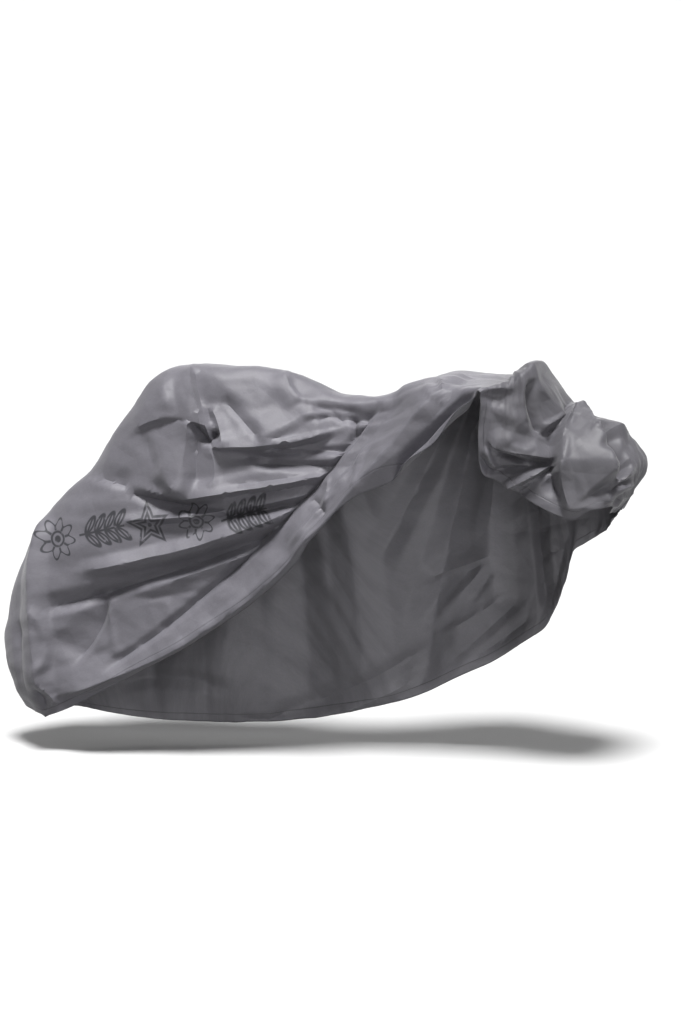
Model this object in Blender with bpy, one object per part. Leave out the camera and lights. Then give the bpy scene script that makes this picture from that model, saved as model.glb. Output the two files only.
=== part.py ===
"""A bicycle cover: one waterproof sheet, hollow inside, in the shape in which it hangs.

The rear half comes down to the hem on both sides. On the near side the front half is pulled up
and lies bunched at the front, while the far side hangs down to its hem.

Units are metres. +X runs from the rear to the front, -Y is the near side, +Z is up. The origin is
the underside of the sheet at the top of the main hump, so a height above the ground, as the tables
give it, becomes z by subtracting HUMP_TOP.
"""
from collections import namedtuple

import bpy
import numpy as np

# Driving sizes
HUMP_TOP = 0.957            # ground to the underside of the sheet at the top of the main hump
SHEET = 0.002               # thickness of the sheet
CELLS_ALONG = 68            # cells from the rear hem to the front hem
CELLS_NEAR = 24             # cells from the near hem up to the ridge
CELLS_FAR = 18              # cells from the ridge down to the far hem
SECTION_SAMPLES = 60        # points that trace half of a section before it is cut into cells
CREST = 0.006               # rounding radius of a fold's crest
FOOT = 0.15                 # how softly a fold's sides run out, as a share of its rise
BEFORE_RIDGE = 0.16         # share of its side over which a fold weakens towards the ridge
PAST_RIDGE = 0.07           # share of the other side over which it dies out past the ridge
ROLL_STEP = 0.020           # a fold that passes under the long roll ends over this distance

# A section across the cover. Heights are above the ground. The section runs from the near hem over
# the near shoulder, the ridge and the far shoulder to the far hem. A shoulder lies `drop` from the
# ridge towards the hem and at its own y. A bulge swells the wall between shoulder and hem.
Section = namedtuple(
    "Section",
    "name near_hem near_bulge near_shoulder near_drop "
    "ridge far_drop far_shoulder far_bulge far_hem",
)
SECTIONS = [Section(*row) for row in (
    ("rear hem", (-0.425, -0.085, 0.088), 0.000, -0.055, 0.040,
     (-0.497, -0.010, 0.098), 0.040, 0.050, 0.000, (-0.405, 0.070, 0.085)),
    ("rear low", (-0.394, -0.095, 0.100), 0.005, -0.080, 0.070,
     (-0.530, -0.005, 0.170), 0.070, 0.065, 0.005, (-0.372, 0.075, 0.081)),
    ("rear curve", (-0.345, -0.100, 0.122), 0.008, -0.085, 0.085,
     (-0.549, 0.000, 0.255), 0.080, 0.070, 0.008, (-0.335, 0.080, 0.073)),
    ("rear face", (-0.285, -0.105, 0.155), 0.010, -0.085, 0.085,
     (-0.541, 0.000, 0.325), 0.080, 0.075, 0.010, (-0.285, 0.090, 0.063)),
    ("rear wall", (-0.225, -0.105, 0.188), 0.012, -0.085, 0.085,
     (-0.517, 0.000, 0.412), 0.075, 0.075, 0.012, (-0.225, 0.100, 0.054)),
    ("rear slope", (-0.165, -0.103, 0.223), 0.015, -0.085, 0.080,
     (-0.475, 0.000, 0.515), 0.070, 0.080, 0.015, (-0.165, 0.110, 0.048)),
    ("slope middle", (-0.105, -0.100, 0.255), 0.018, -0.085, 0.070,
     (-0.403, 0.000, 0.616), 0.060, 0.080, 0.018, (-0.105, 0.120, 0.046)),
    ("slope top", (-0.050, -0.100, 0.287), 0.020, -0.080, 0.060,
     (-0.304, 0.000, 0.718), 0.050, 0.075, 0.020, (-0.050, 0.130, 0.044)),
    ("hump tail", (0.000, -0.100, 0.320), 0.022, -0.060, 0.052,
     (-0.225, 0.000, 0.838), 0.050, 0.062, 0.022, (0.000, 0.135, 0.044)),
    ("hump rear", (0.040, -0.100, 0.347), 0.024, -0.058, 0.040,
     (-0.168, 0.000, 0.914), 0.040, 0.060, 0.024, (0.050, 0.140, 0.044)),
    ("hump back", (0.080, -0.100, 0.375), 0.026, -0.056, 0.032,
     (-0.110, 0.000, 0.949), 0.032, 0.058, 0.024, (0.100, 0.145, 0.045)),
    ("hump wide", (0.118, -0.100, 0.405), 0.028, -0.055, 0.030,
     (-0.045, 0.000, 0.957), 0.030, 0.056, 0.024, (0.150, 0.150, 0.050)),
    ("hump middle", (0.155, -0.103, 0.436), 0.028, -0.048, 0.028,
     (0.030, 0.000, 0.959), 0.028, 0.050, 0.022, (0.200, 0.150, 0.058)),
    ("hump front", (0.190, -0.106, 0.468), 0.024, -0.040, 0.026,
     (0.100, 0.000, 0.955), 0.026, 0.044, 0.020, (0.250, 0.145, 0.070)),
    ("hump nose", (0.225, -0.110, 0.504), 0.018, -0.034, 0.024,
     (0.158, 0.000, 0.950), 0.024, 0.038, 0.018, (0.300, 0.140, 0.084)),
    ("dip start", (0.270, -0.116, 0.557), 0.010, -0.032, 0.020,
     (0.235, 0.000, 0.921), 0.018, 0.045, 0.016, (0.350, 0.135, 0.097)),
    ("dip", (0.327, -0.124, 0.617), 0.004, -0.040, 0.015,
     (0.320, 0.000, 0.892), 0.018, 0.045, 0.014, (0.400, 0.125, 0.110)),
    ("dip end", (0.385, -0.138, 0.669), 0.003, -0.048, 0.015,
     (0.395, 0.000, 0.889), 0.020, 0.055, 0.012, (0.450, 0.120, 0.125)),
    ("rise", (0.445, -0.152, 0.719), 0.003, -0.065, 0.018,
     (0.465, 0.000, 0.905), 0.025, 0.080, 0.010, (0.500, 0.112, 0.147)),
    ("rise top", (0.510, -0.166, 0.761), 0.003, -0.090, 0.020,
     (0.525, 0.005, 0.933), 0.030, 0.115, 0.008, (0.555, 0.102, 0.178)),
    ("crown back", (0.568, -0.178, 0.806), 0.003, -0.120, 0.020,
     (0.575, 0.015, 0.948), 0.035, 0.150, 0.005, (0.610, 0.090, 0.207)),
    ("crown near", (0.612, -0.188, 0.860), 0.002, -0.145, 0.018,
     (0.622, 0.020, 0.946), 0.040, 0.180, 0.000, (0.655, 0.080, 0.230)),
    ("crown middle", (0.648, -0.197, 0.905), 0.000, -0.165, 0.012,
     (0.668, 0.010, 0.945), 0.045, 0.190, 0.000, (0.695, 0.072, 0.255)),
    ("crown notch", (0.668, -0.203, 0.926), 0.000, -0.170, 0.010,
     (0.712, -0.030, 0.948), 0.050, 0.190, 0.000, (0.730, 0.066, 0.280)),
    ("peak back", (0.670, -0.195, 0.880), 0.004, -0.160, 0.022,
     (0.752, -0.085, 0.974), 0.070, 0.185, 0.000, (0.764, 0.062, 0.304)),
    ("peak", (0.664, -0.180, 0.812), 0.008, -0.160, 0.035,
     (0.784, -0.105, 0.988), 0.090, 0.175, 0.004, (0.792, 0.062, 0.325)),
    ("peak front", (0.669, -0.152, 0.732), 0.014, -0.150, 0.055,
     (0.808, -0.075, 0.950), 0.070, 0.165, 0.008, (0.813, 0.064, 0.360)),
    ("bunch left", (0.700, -0.142, 0.714), 0.018, -0.135, 0.065,
     (0.830, -0.020, 0.914), 0.055, 0.155, 0.010, (0.832, 0.068, 0.410)),
    ("bunch pocket", (0.740, -0.145, 0.694), 0.020, -0.120, 0.060,
     (0.862, 0.040, 0.873), 0.045, 0.150, 0.010, (0.848, 0.072, 0.465)),
    ("bunch crumple", (0.795, -0.150, 0.660), 0.014, -0.115, 0.060,
     (0.905, 0.055, 0.850), 0.040, 0.145, 0.010, (0.860, 0.078, 0.515)),
    ("flap left", (0.848, -0.155, 0.636), 0.010, -0.110, 0.060,
     (0.948, 0.050, 0.834), 0.040, 0.135, 0.010, (0.885, 0.088, 0.532)),
    ("flap tip", (0.889, -0.155, 0.628), 0.008, -0.105, 0.055,
     (0.985, 0.040, 0.806), 0.040, 0.120, 0.010, (0.905, 0.092, 0.545)),
    ("flap right", (0.922, -0.150, 0.648), 0.008, -0.100, 0.050,
     (1.016, 0.030, 0.782), 0.040, 0.105, 0.008, (0.922, 0.090, 0.556)),
    ("flap corner", (0.948, -0.136, 0.662), 0.012, -0.090, 0.040,
     (1.034, 0.020, 0.755), 0.040, 0.090, 0.006, (0.936, 0.085, 0.566)),
    ("front face", (0.964, -0.108, 0.660), 0.008, -0.070, 0.035,
     (1.033, 0.010, 0.722), 0.035, 0.075, 0.004, (0.944, 0.078, 0.578)),
    ("front tuck", (0.968, -0.084, 0.646), 0.004, -0.055, 0.028,
     (1.008, 0.004, 0.682), 0.030, 0.060, 0.002, (0.950, 0.070, 0.590)),
    ("front hem", (0.962, -0.062, 0.630), 0.000, -0.040, 0.020,
     (0.984, 0.000, 0.636), 0.020, 0.045, 0.000, (0.955, 0.060, 0.602)),
)]

# Main folds. Each runs from `start` through `middle` to `end`, all (x, height), from the rear to the
# front or from the top down. `upper` and `lower` are its reach to either side: up and down, or, for
# a fold that runs down, to the front and to the rear. `fan` is the share by which the reach grows
# towards the end and shrinks towards the start. The next two say how full that side is: 1 is a flat
# side, like a roof's, and 2 a soft roll. `rise` is outward, so a trough is negative. `lean` pushes
# the crest over its lower side. `fade` is the share of the length over which an end dies away. A
# fold of the side "under" is on the near side and passes under the long roll.
Fold = namedtuple(
    "Fold",
    "name side start middle end upper lower fan upper_full lower_full rise lean fade",
)
FOLDS = [Fold(*row) for row in (
    # the main hump, near side
    ("rear lip", "near", (-0.220, 0.779), (-0.100, 0.838), (0.018, 0.809),
     0.083, 0.024, -0.2, 1.0, 1.0, 0.011, 0.002, 0.25),
    ("front lip", "near", (-0.012, 0.777), (0.106, 0.775), (0.300, 0.811),
     0.088, 0.024, 0.2, 1.0, 1.0, 0.034, 0.009, 0.14),
    ("pocket left", "near", (-0.044, 0.826), (-0.024, 0.807), (-0.002, 0.774),
     0.024, 0.024, 0.0, 1.0, 1.0, -0.024, 0.000, 0.25),
    ("top edge", "near", (-0.065, 0.967), (-0.043, 0.895), (0.011, 0.804),
     0.024, 0.049, 0.4, 1.0, 1.0, 0.013, 0.000, 0.12),
    ("top valley", "near", (-0.052, 0.962), (-0.031, 0.885), (0.028, 0.775),
     0.069, 0.024, 0.4, 1.0, 1.0, -0.018, 0.000, 0.14),
    ("front corner", "near", (0.169, 0.959), (0.184, 0.912), (0.220, 0.874),
     0.024, 0.042, 0.0, 1.0, 1.0, 0.013, 0.000, 0.20),
    ("v right", "near", (0.123, 0.792), (0.184, 0.822), (0.252, 0.869),
     0.054, 0.024, 0.3, 1.0, 1.0, -0.016, 0.000, 0.15),
    # below the hump: the packing crease and the folds that run to the front
    ("packing crease", "near", (-0.048, 0.835), (-0.057, 0.738), (-0.067, 0.641),
     0.025, 0.103, 0.5, 1.0, 1.0, 0.017, 0.000, 0.08),
    ("under lip", "under", (0.035, 0.745), (0.177, 0.751), (0.400, 0.774),
     0.024, 0.024, 0.0, 1.0, 1.0, -0.016, 0.000, 0.20),
    ("middle ridge", "under", (0.106, 0.763), (0.240, 0.757), (0.433, 0.747),
     0.024, 0.024, 0.4, 1.0, 1.0, 0.018, 0.002, 0.16),
    ("tension one", "under", (-0.077, 0.642), (0.135, 0.679), (0.402, 0.727),
     0.049, 0.024, 0.3, 1.0, 1.0, 0.032, 0.004, 0.12),
    ("tension one rear", "near", (-0.146, 0.718), (-0.092, 0.681), (-0.047, 0.643),
     0.098, 0.024, -0.3, 1.0, 1.0, 0.020, 0.000, 0.30),
    ("tension valley", "under", (-0.244, 0.675), (0.017, 0.621), (0.352, 0.698),
     0.024, 0.024, 0.3, 1.0, 1.0, -0.026, 0.000, 0.16),
    ("tension two", "under", (-0.257, 0.583), (0.056, 0.622), (0.402, 0.713),
     0.024, 0.024, 0.2, 1.0, 1.0, 0.022, 0.002, 0.20),
    ("sweep crease", "near", (-0.322, 0.691), (-0.197, 0.665), (-0.048, 0.611),
     0.064, 0.024, -0.4, 1.0, 1.0, -0.017, 0.000, 0.14),
    ("print ridge", "under", (-0.370, 0.452), (0.006, 0.545), (0.339, 0.687),
     0.027, 0.027, 0.1, 1.0, 1.0, 0.027, 0.000, 0.20),
    ("middle crease", "under", (-0.450, 0.349), (-0.121, 0.451), (0.298, 0.622),
     0.032, 0.024, -0.2, 1.0, 1.0, -0.022, 0.000, 0.12),
    # the rear face
    ("rear fold", "near", (-0.432, 0.594), (-0.441, 0.368), (-0.424, 0.136),
     0.044, 0.024, 0.2, 1.0, 1.0, 0.018, 0.000, 0.10),
    ("shade", "near", (-0.250, 0.418), (-0.266, 0.333), (-0.348, 0.226),
     0.024, 0.073, 0.4, 1.0, 1.0, -0.018, 0.000, 0.20),
    ("roll edge", "near", (-0.272, 0.208), (0.087, 0.496), (0.421, 0.889),
     0.024, 0.024, 0.0, 1.0, 1.0, -0.012, 0.000, 0.08),
    # the long roll beside the near hem, the dip, and the bunch at the front
    ("roll low", "near", (-0.415, 0.162), (-0.000, 0.347), (0.281, 0.614),
     0.049, 0.039, 0.1, 1.0, 1.2, 0.028, 0.003, 0.12),
    ("roll high", "near", (0.207, 0.532), (0.381, 0.748), (0.567, 0.937),
     0.054, 0.039, 0.1, 1.0, 1.2, 0.032, 0.004, 0.14),
    ("hem valley", "near", (0.356, 0.645), (0.500, 0.796), (0.664, 0.946),
     0.024, 0.024, 0.1, 1.0, 1.0, -0.028, 0.000, 0.18),
    ("dip crease", "near", (0.210, 0.883), (0.279, 0.875), (0.381, 0.863),
     0.034, 0.024, 0.0, 1.0, 1.0, 0.010, 0.000, 0.25),
    ("peak valley", "near", (0.781, 0.962), (0.782, 0.883), (0.806, 0.818),
     0.024, 0.024, 0.3, 1.0, 1.0, -0.024, 0.000, 0.20),
    ("smooth panel", "near", (0.730, 0.896), (0.745, 0.844), (0.712, 0.797),
     0.034, 0.039, 0.0, 1.0, 1.2, 0.014, 0.000, 0.30),
    ("bunch one", "near", (0.673, 0.818), (0.758, 0.778), (0.845, 0.794),
     0.029, 0.024, -0.3, 1.0, 1.0, 0.022, 0.006, 0.20),
    ("bunch three", "near", (0.679, 0.719), (0.768, 0.745), (0.852, 0.775),
     0.024, 0.024, -0.3, 1.0, 1.0, -0.022, 0.000, 0.20),
    ("spine", "near", (0.857, 0.875), (0.844, 0.777), (0.890, 0.637),
     0.078, 0.024, 0.4, 1.0, 1.0, 0.030, 0.000, 0.14),
    ("spine shade", "near", (0.829, 0.851), (0.823, 0.767), (0.845, 0.673),
     0.024, 0.034, 0.0, 1.0, 1.0, -0.016, 0.000, 0.20),
    ("flap edge", "near", (0.886, 0.856), (0.926, 0.794), (0.988, 0.718),
     0.024, 0.039, 0.4, 1.0, 1.0, 0.018, -0.008, 0.20),
    ("flap gap", "near", (0.894, 0.857), (0.942, 0.795), (1.008, 0.710),
     0.024, 0.024, 0.4, 1.0, 1.0, -0.034, 0.000, 0.20),
    ("brow", "near", (0.905, 0.792), (0.966, 0.812), (1.036, 0.771),
     0.029, 0.024, 0.3, 1.0, 1.0, 0.018, 0.003, 0.20),
    # the far side: what shows from inside
    ("wedge left", "far", (0.727, 0.831), (0.764, 0.588), (0.793, 0.353),
     0.032, 0.024, -0.3, 1.1, 1.0, 0.024, 0.000, 0.15),
    ("wedge right", "far", (0.851, 0.581), (0.826, 0.487), (0.803, 0.363),
     0.024, 0.029, -0.4, 1.0, 1.0, 0.009, 0.000, 0.25),
    ("pull one", "far", (0.485, 0.290), (0.572, 0.385), (0.655, 0.482),
     0.024, 0.024, -0.3, 1.0, 1.0, -0.013, 0.000, 0.15),
    ("pull two", "far", (0.485, 0.270), (0.599, 0.331), (0.707, 0.404),
     0.024, 0.024, -0.3, 1.0, 1.0, -0.009, 0.000, 0.20),
    ("low sweep one", "far", (0.048, 0.034), (0.278, 0.130), (0.529, 0.276),
     0.029, 0.032, -0.3, 1.0, 1.0, 0.018, 0.000, 0.20),
    ("low sweep three", "far", (-0.335, 0.125), (-0.153, 0.153), (0.027, 0.124),
     0.027, 0.029, 0.0, 1.0, 1.0, 0.012, 0.000, 0.30),
    # the far side, seen from behind
    ("far upright one", "far", (-0.105, 0.930), (-0.176, 0.440), (-0.212, 0.040),
     0.060, 0.070, 0.5, 1.0, 1.0, 0.036, 0.000, 0.12),
    ("far upright two", "far", (0.030, 0.900), (0.003, 0.400), (-0.028, 0.010),
     0.052, 0.055, 0.5, 1.0, 1.0, -0.032, 0.000, 0.12),
    ("far upright three", "far", (0.125, 0.930), (0.172, 0.420), (0.192, 0.010),
     0.066, 0.058, 0.5, 1.1, 1.1, 0.038, 0.000, 0.12),
    ("far upright four", "far", (0.235, 0.880), (0.326, 0.430), (0.345, 0.060),
     0.055, 0.055, 0.5, 1.0, 1.0, -0.034, 0.000, 0.12),
    ("far sweep one", "far", (0.640, 0.910), (0.546, 0.500), (0.470, 0.110),
     0.056, 0.052, 0.4, 1.0, 1.0, 0.036, 0.000, 0.14),
    ("far sweep two", "far", (0.690, 0.900), (0.654, 0.590), (0.680, 0.330),
     0.046, 0.046, 0.3, 1.0, 1.0, -0.028, 0.000, 0.18),
    ("far sweep three", "far", (0.590, 0.900), (0.480, 0.660), (0.345, 0.420),
     0.034, 0.040, 0.4, 1.0, 1.0, 0.024, 0.000, 0.22),
    ("far hump fold", "far", (-0.140, 0.920), (-0.215, 0.760), (-0.330, 0.560),
     0.045, 0.040, 0.3, 1.0, 1.0, 0.026, 0.000, 0.20),
    ("far sling", "far", (-0.300, 0.620), (-0.060, 0.530), (0.260, 0.560),
     0.044, 0.045, 0.0, 1.0, 1.0, -0.024, 0.000, 0.25),
    ("far tension one", "far", (-0.130, 0.830), (0.080, 0.735), (0.340, 0.760),
     0.036, 0.030, 0.3, 1.0, 1.0, 0.030, 0.004, 0.22),
    ("far tension two", "far", (-0.080, 0.730), (0.140, 0.655), (0.400, 0.700),
     0.032, 0.028, 0.3, 1.0, 1.0, -0.024, 0.000, 0.25),
    ("far tension three", "far", (-0.350, 0.540), (-0.060, 0.445), (0.300, 0.540),
     0.036, 0.036, 0.0, 1.0, 1.0, 0.024, 0.000, 0.25),
    ("far rear one", "far", (-0.480, 0.470), (-0.300, 0.330), (-0.200, 0.120),
     0.050, 0.045, -0.2, 1.0, 1.0, 0.026, 0.000, 0.25),
    ("far rear two", "far", (-0.300, 0.700), (-0.350, 0.520), (-0.420, 0.300),
     0.042, 0.046, 0.2, 1.0, 1.0, -0.024, 0.000, 0.25),
    ("far rear three", "far", (-0.480, 0.380), (-0.430, 0.250), (-0.400, 0.110),
     0.026, 0.034, 0.0, 1.0, 1.0, 0.016, 0.000, 0.25),
    ("far crown one", "far", (0.540, 0.915), (0.440, 0.800), (0.340, 0.740),
     0.026, 0.030, 0.0, 1.0, 1.0, 0.016, 0.000, 0.25),
    ("far bunch one", "far", (0.745, 0.940), (0.785, 0.820), (0.780, 0.660),
     0.030, 0.030, 0.0, 1.0, 1.0, 0.024, 0.000, 0.22),
    ("far bunch two", "far", (0.880, 0.850), (0.900, 0.740), (0.880, 0.610),
     0.034, 0.034, 0.0, 1.0, 1.0, -0.026, 0.000, 0.25),
)]
ROLL_EDGE = next(fold for fold in FOLDS if fold.name == "roll edge")


def clear_scene():
    for thing in list(bpy.data.objects):
        bpy.data.objects.remove(thing, do_unlink=True)


def smooth_step(value):
    value = np.clip(value, 0.0, 1.0)
    return value * value * (3.0 - 2.0 * value)


def unit(vectors):
    return vectors / np.maximum(np.linalg.norm(vectors, axis=-1, keepdims=True), 1e-12)


def spline(knots, points, at):
    """A smooth curve through `points` at the values `knots`, read at the values `at`."""
    points = np.asarray(points, float)
    slopes = np.gradient(points, knots, axis=0)
    index = np.clip(np.searchsorted(knots, at, side="right") - 1, 0, len(knots) - 2)
    span = (knots[index + 1] - knots[index])[:, None]
    t = (at - knots[index])[:, None] / span
    return (
        (2 * t**3 - 3 * t**2 + 1) * points[index]
        + (t**3 - 2 * t**2 + t) * span * slopes[index]
        + (3 * t**2 - 2 * t**3) * points[index + 1]
        + (t**3 - t**2) * span * slopes[index + 1]
    )


def distances(points):
    """Distance along a chain of points, from 0 at its start."""
    steps = np.linalg.norm(np.diff(points, axis=0), axis=1)
    return np.concatenate([[0.0], np.cumsum(steps)])


def even(points, cells):
    """The same chain, cut into `cells` equal lengths."""
    along = distances(points)
    at = np.linspace(0.0, along[-1], cells + 1)
    return np.stack([np.interp(at, along, points[:, axis]) for axis in range(3)], axis=1)


def key_points(section):
    """Near hem, near wall, near shoulder, ridge, far shoulder, far wall and far hem."""
    ridge = np.array(section.ridge)
    sides = []
    for hem, bulge, shoulder_y, drop in (
        (section.near_hem, section.near_bulge, section.near_shoulder, section.near_drop),
        (section.far_hem, section.far_bulge, section.far_shoulder, section.far_drop),
    ):
        hem = np.array(hem)
        inward = hem - ridge
        inward[1] = 0.0
        shoulder = ridge + unit(inward) * drop
        shoulder[1] = shoulder_y
        wall = (hem + shoulder) / 2
        wall[1] += bulge * np.sign(shoulder_y)
        sides.append((hem, wall, shoulder))
    near, far = sides
    return np.array([near[0], near[1], near[2], ridge, far[2], far[1], far[0]])


def smooth_surface():
    """The cover without folds: points by place along it and across it, at half a cell's spacing."""
    keys = np.array([key_points(section) for section in SECTIONS])
    spacing = np.linalg.norm(np.diff(keys[:, (0, 3, 6)], axis=0), axis=2).mean(axis=1)
    knots = np.concatenate([[0.0], np.cumsum(spacing)])
    at = np.linspace(0.0, knots[-1], 2 * CELLS_ALONG + 1)
    dense = spline(knots, keys.reshape(len(keys), -1), at).reshape(len(at), -1, 3)
    surface = []
    for row in dense:
        steps = np.sqrt(np.linalg.norm(np.diff(row, axis=0), axis=1))
        marks = np.concatenate([[0.0], np.cumsum(steps)])
        near = spline(marks, row, np.linspace(marks[0], marks[3], SECTION_SAMPLES))
        far = spline(marks, row, np.linspace(marks[3], marks[-1], SECTION_SAMPLES))
        surface.append(np.concatenate([even(near, 2 * CELLS_NEAR), even(far, 2 * CELLS_FAR)[1:]]))
    return np.array(surface)


def outward(surface):
    """Unit normals that point out of the hollow."""
    along = np.gradient(surface, axis=0)
    across = np.gradient(surface, axis=1)
    return unit(np.cross(along, across))


def fold_moves(flat, fold):
    """How strongly a fold acts at each (x, height), its way up or forward, and the crest's offset."""
    start, middle, end = (np.array(point) for point in (fold.start, fold.middle, fold.end))
    length = np.linalg.norm(end - start)
    run = (end - start) / length
    upward = np.array([-run[1], run[0]])
    bow = (middle - (start + end) / 2) @ upward
    place = (flat - start) @ run / length
    inside = np.clip(place, 0.0, 1.0)
    slope = 4 * bow * (1 - 2 * inside) / length
    offset = ((flat - start) @ upward - 4 * bow * inside * (1 - inside)) / np.sqrt(1 + slope**2)
    reach = np.where(offset >= 0, fold.upper, fold.lower) * (1.0 + fold.fan * (2 * inside - 1))
    full = np.where(offset >= 0, fold.upper_full, fold.lower_full)
    gap = (np.sqrt(offset**2 + CREST**2) - CREST) / reach
    roof = 1.0 - gap**full
    ends = smooth_step(place / fold.fade) * smooth_step((1 - place) / fold.fade)
    return (roof + np.sqrt(roof**2 + FOOT**2)) / 2 * ends, upward, offset


def folded(surface):
    """The surface with every fold of the table pressed into it."""
    normal = outward(surface)
    flat = surface[..., (0, 2)]
    across = np.concatenate([
        np.linspace(-1.0, 0.0, 2 * CELLS_NEAR + 1),
        np.linspace(0.0, 1.0, 2 * CELLS_FAR + 1)[1:],
    ])
    near_side = smooth_step((PAST_RIDGE - across) / (PAST_RIDGE + BEFORE_RIDGE))
    far_side = smooth_step((PAST_RIDGE + across) / (PAST_RIDGE + BEFORE_RIDGE))
    above_roll = smooth_step(fold_moves(flat, ROLL_EDGE)[2] / ROLL_STEP)
    sides = {"near": near_side, "far": far_side, "under": near_side * above_roll}
    moved = surface.copy()
    for fold in FOLDS:
        strength, upward, _ = fold_moves(flat, fold)
        strength = strength * sides[fold.side]
        moved += normal * (strength * fold.rise)[..., None]
        moved[..., (0, 2)] -= upward * (strength * fold.lean)[..., None]
    return moved


def sheet_mesh(name, surface):
    """Triangles over every second point. A cell's other points tell which way its split bends least."""
    corners = surface[::2, ::2]
    centres = surface[1::2, 1::2]
    rows, columns = corners.shape[:2]
    rising = np.linalg.norm((corners[:-1, :-1] + corners[1:, 1:]) / 2 - centres, axis=2)
    falling = np.linalg.norm((corners[1:, :-1] + corners[:-1, 1:]) / 2 - centres, axis=2)
    faces = []
    for row in range(rows - 1):
        for column in range(columns - 1):
            low = row * columns + column
            high = low + columns
            if rising[row, column] < falling[row, column]:
                faces += [(low, low + 1, high + 1), (low, high + 1, high)]
            else:
                faces += [(low, low + 1, high), (low + 1, high + 1, high)]
    points = corners.reshape(-1, 3) - np.array([0.0, 0.0, HUMP_TOP])
    mesh = bpy.data.meshes.new(name)
    mesh.from_pydata(points.tolist(), [], faces)
    mesh.update()
    return mesh


def cloth_material():
    material = bpy.data.materials.new("grey_waterproof_cloth")
    material.use_nodes = True
    shader = material.node_tree.nodes["Principled BSDF"]
    shader.inputs["Base Color"].default_value = (0.23, 0.22, 0.25, 1.0)
    shader.inputs["Roughness"].default_value = 0.45
    shader.inputs["Metallic"].default_value = 0.0
    return material


def build_cover():
    mesh = sheet_mesh("cover", folded(smooth_surface()))
    cover = bpy.data.objects.new("cover", mesh)
    bpy.context.scene.collection.objects.link(cover)
    mesh.materials.append(cloth_material())
    mesh.shade_smooth()
    wall = cover.modifiers.new("sheet thickness", "SOLIDIFY")
    wall.thickness = SHEET
    wall.offset = 0.0
    wall.use_rim = True
    return cover


clear_scene()
build_cover()
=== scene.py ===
"""The looks of a bicycle cover: one thin waterproof sheet, hollow inside, draped in its own folds.

The sheet is laid over the same sections as the solid, pressed into a finer table of folds, and then
crumpled a little. Heights in the tables are above the ground, as the sheet hangs; the frame's z
is lower by HUMP_TOP. Units are metres. -Y is the near side and +X runs to the front.
"""

import math
from collections import namedtuple

import bpy
import numpy as np
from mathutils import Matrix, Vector


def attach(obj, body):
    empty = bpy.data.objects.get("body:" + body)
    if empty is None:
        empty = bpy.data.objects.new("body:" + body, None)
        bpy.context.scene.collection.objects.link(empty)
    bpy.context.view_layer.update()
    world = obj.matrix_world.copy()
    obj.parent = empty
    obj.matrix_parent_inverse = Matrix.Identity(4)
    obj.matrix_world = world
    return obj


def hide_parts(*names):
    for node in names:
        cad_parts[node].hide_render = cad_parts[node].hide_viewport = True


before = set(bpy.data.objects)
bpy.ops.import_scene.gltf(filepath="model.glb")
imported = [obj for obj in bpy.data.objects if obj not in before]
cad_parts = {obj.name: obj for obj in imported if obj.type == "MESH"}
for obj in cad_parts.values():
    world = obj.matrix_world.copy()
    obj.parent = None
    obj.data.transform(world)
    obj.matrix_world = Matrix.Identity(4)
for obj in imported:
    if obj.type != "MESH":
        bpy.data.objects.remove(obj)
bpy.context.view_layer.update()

# Driving sizes
HUMP_TOP = 0.957            # ground to the underside of the sheet at the top of the main hump
SHEET = 0.0018              # thickness of the sheet
CELLS_ALONG = 270           # cells from the rear hem to the front hem
CELLS_NEAR = 92             # cells from the near hem up to the ridge
CELLS_FAR = 74              # cells from the ridge down to the far hem
SECTION_SAMPLES = 200       # points that trace half of a section before it is cut into cells
HEM_CROWDING = 1.15         # above 1, the cells crowd towards the near and the far hem
CREST = 0.0015              # rounding radius of a fold's crest
FOOT = 0.10                 # how softly a fold's sides run out, as a share of its rise
BEFORE_RIDGE = 0.16         # share of its side over which a fold weakens towards the ridge
PAST_RIDGE = 0.07           # share of the other side over which it dies out past the ridge
ROLL_STEP = 0.007           # a fold that passes under the long roll ends over this distance
SNAP = 0.47                 # a point this close to a crest, in cells, is moved onto it
SNAP_FROM = 0.12            # and only where the fold has this share of its rise
CREASE_ANGLE = 42.0         # an edge that bends more than this, in degrees, is a sharp crease
WAVER = 0.0007              # how far the slow waves shift a fold from its arc
WAVES = (
    # what it shifts (0 for x, 1 for the height), share of WAVER, radians a metre along x, radians a
    # metre of height, radians at the start
    (0, 1.0, 4.0, 31.0, 1.3),
    (0, 0.6, -19.0, 67.0, 0.0),
    (1, 1.0, 29.0, -6.0, 0.4),
    (1, 0.6, 71.0, 17.0, 0.0),
)
HEM_WIDTH = 0.022           # from the edge to the hem's weld line

# Crumples: small flat facets over the part of the sheet within `reach` of `centre`, both (x, y,
# height). They are about `cell` wide, and the middles stand `rise` back from the creases between.
CRUMPLE_SEED = 3
CRUMPLE_CELLS = 48          # cells to a side before the pattern repeats
CRUMPLE_FULL = 0.7          # share of the reach up to which the crumples keep their full rise
CRUMPLE_FADE = 0.6          # share of the reach over which they then die away
Crumple = namedtuple("Crumple", "name centre reach cell rise")
CRUMPLES = [Crumple(*row) for row in (
    ("whole sheet", (0.2, 0.0, 0.5), (2.0, 2.0, 2.0), 0.110, 0.007),
    ("near wall", (-0.15, -0.2, 0.45), (0.45, 0.25, 0.45), 0.085, 0.003),
)]
BUNCH_FROM = 0.69           # x from which the sheet lies bunched
BUNCH_SHARE = 1.7           # how much denser the points lie along the sheet in the bunch

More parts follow.
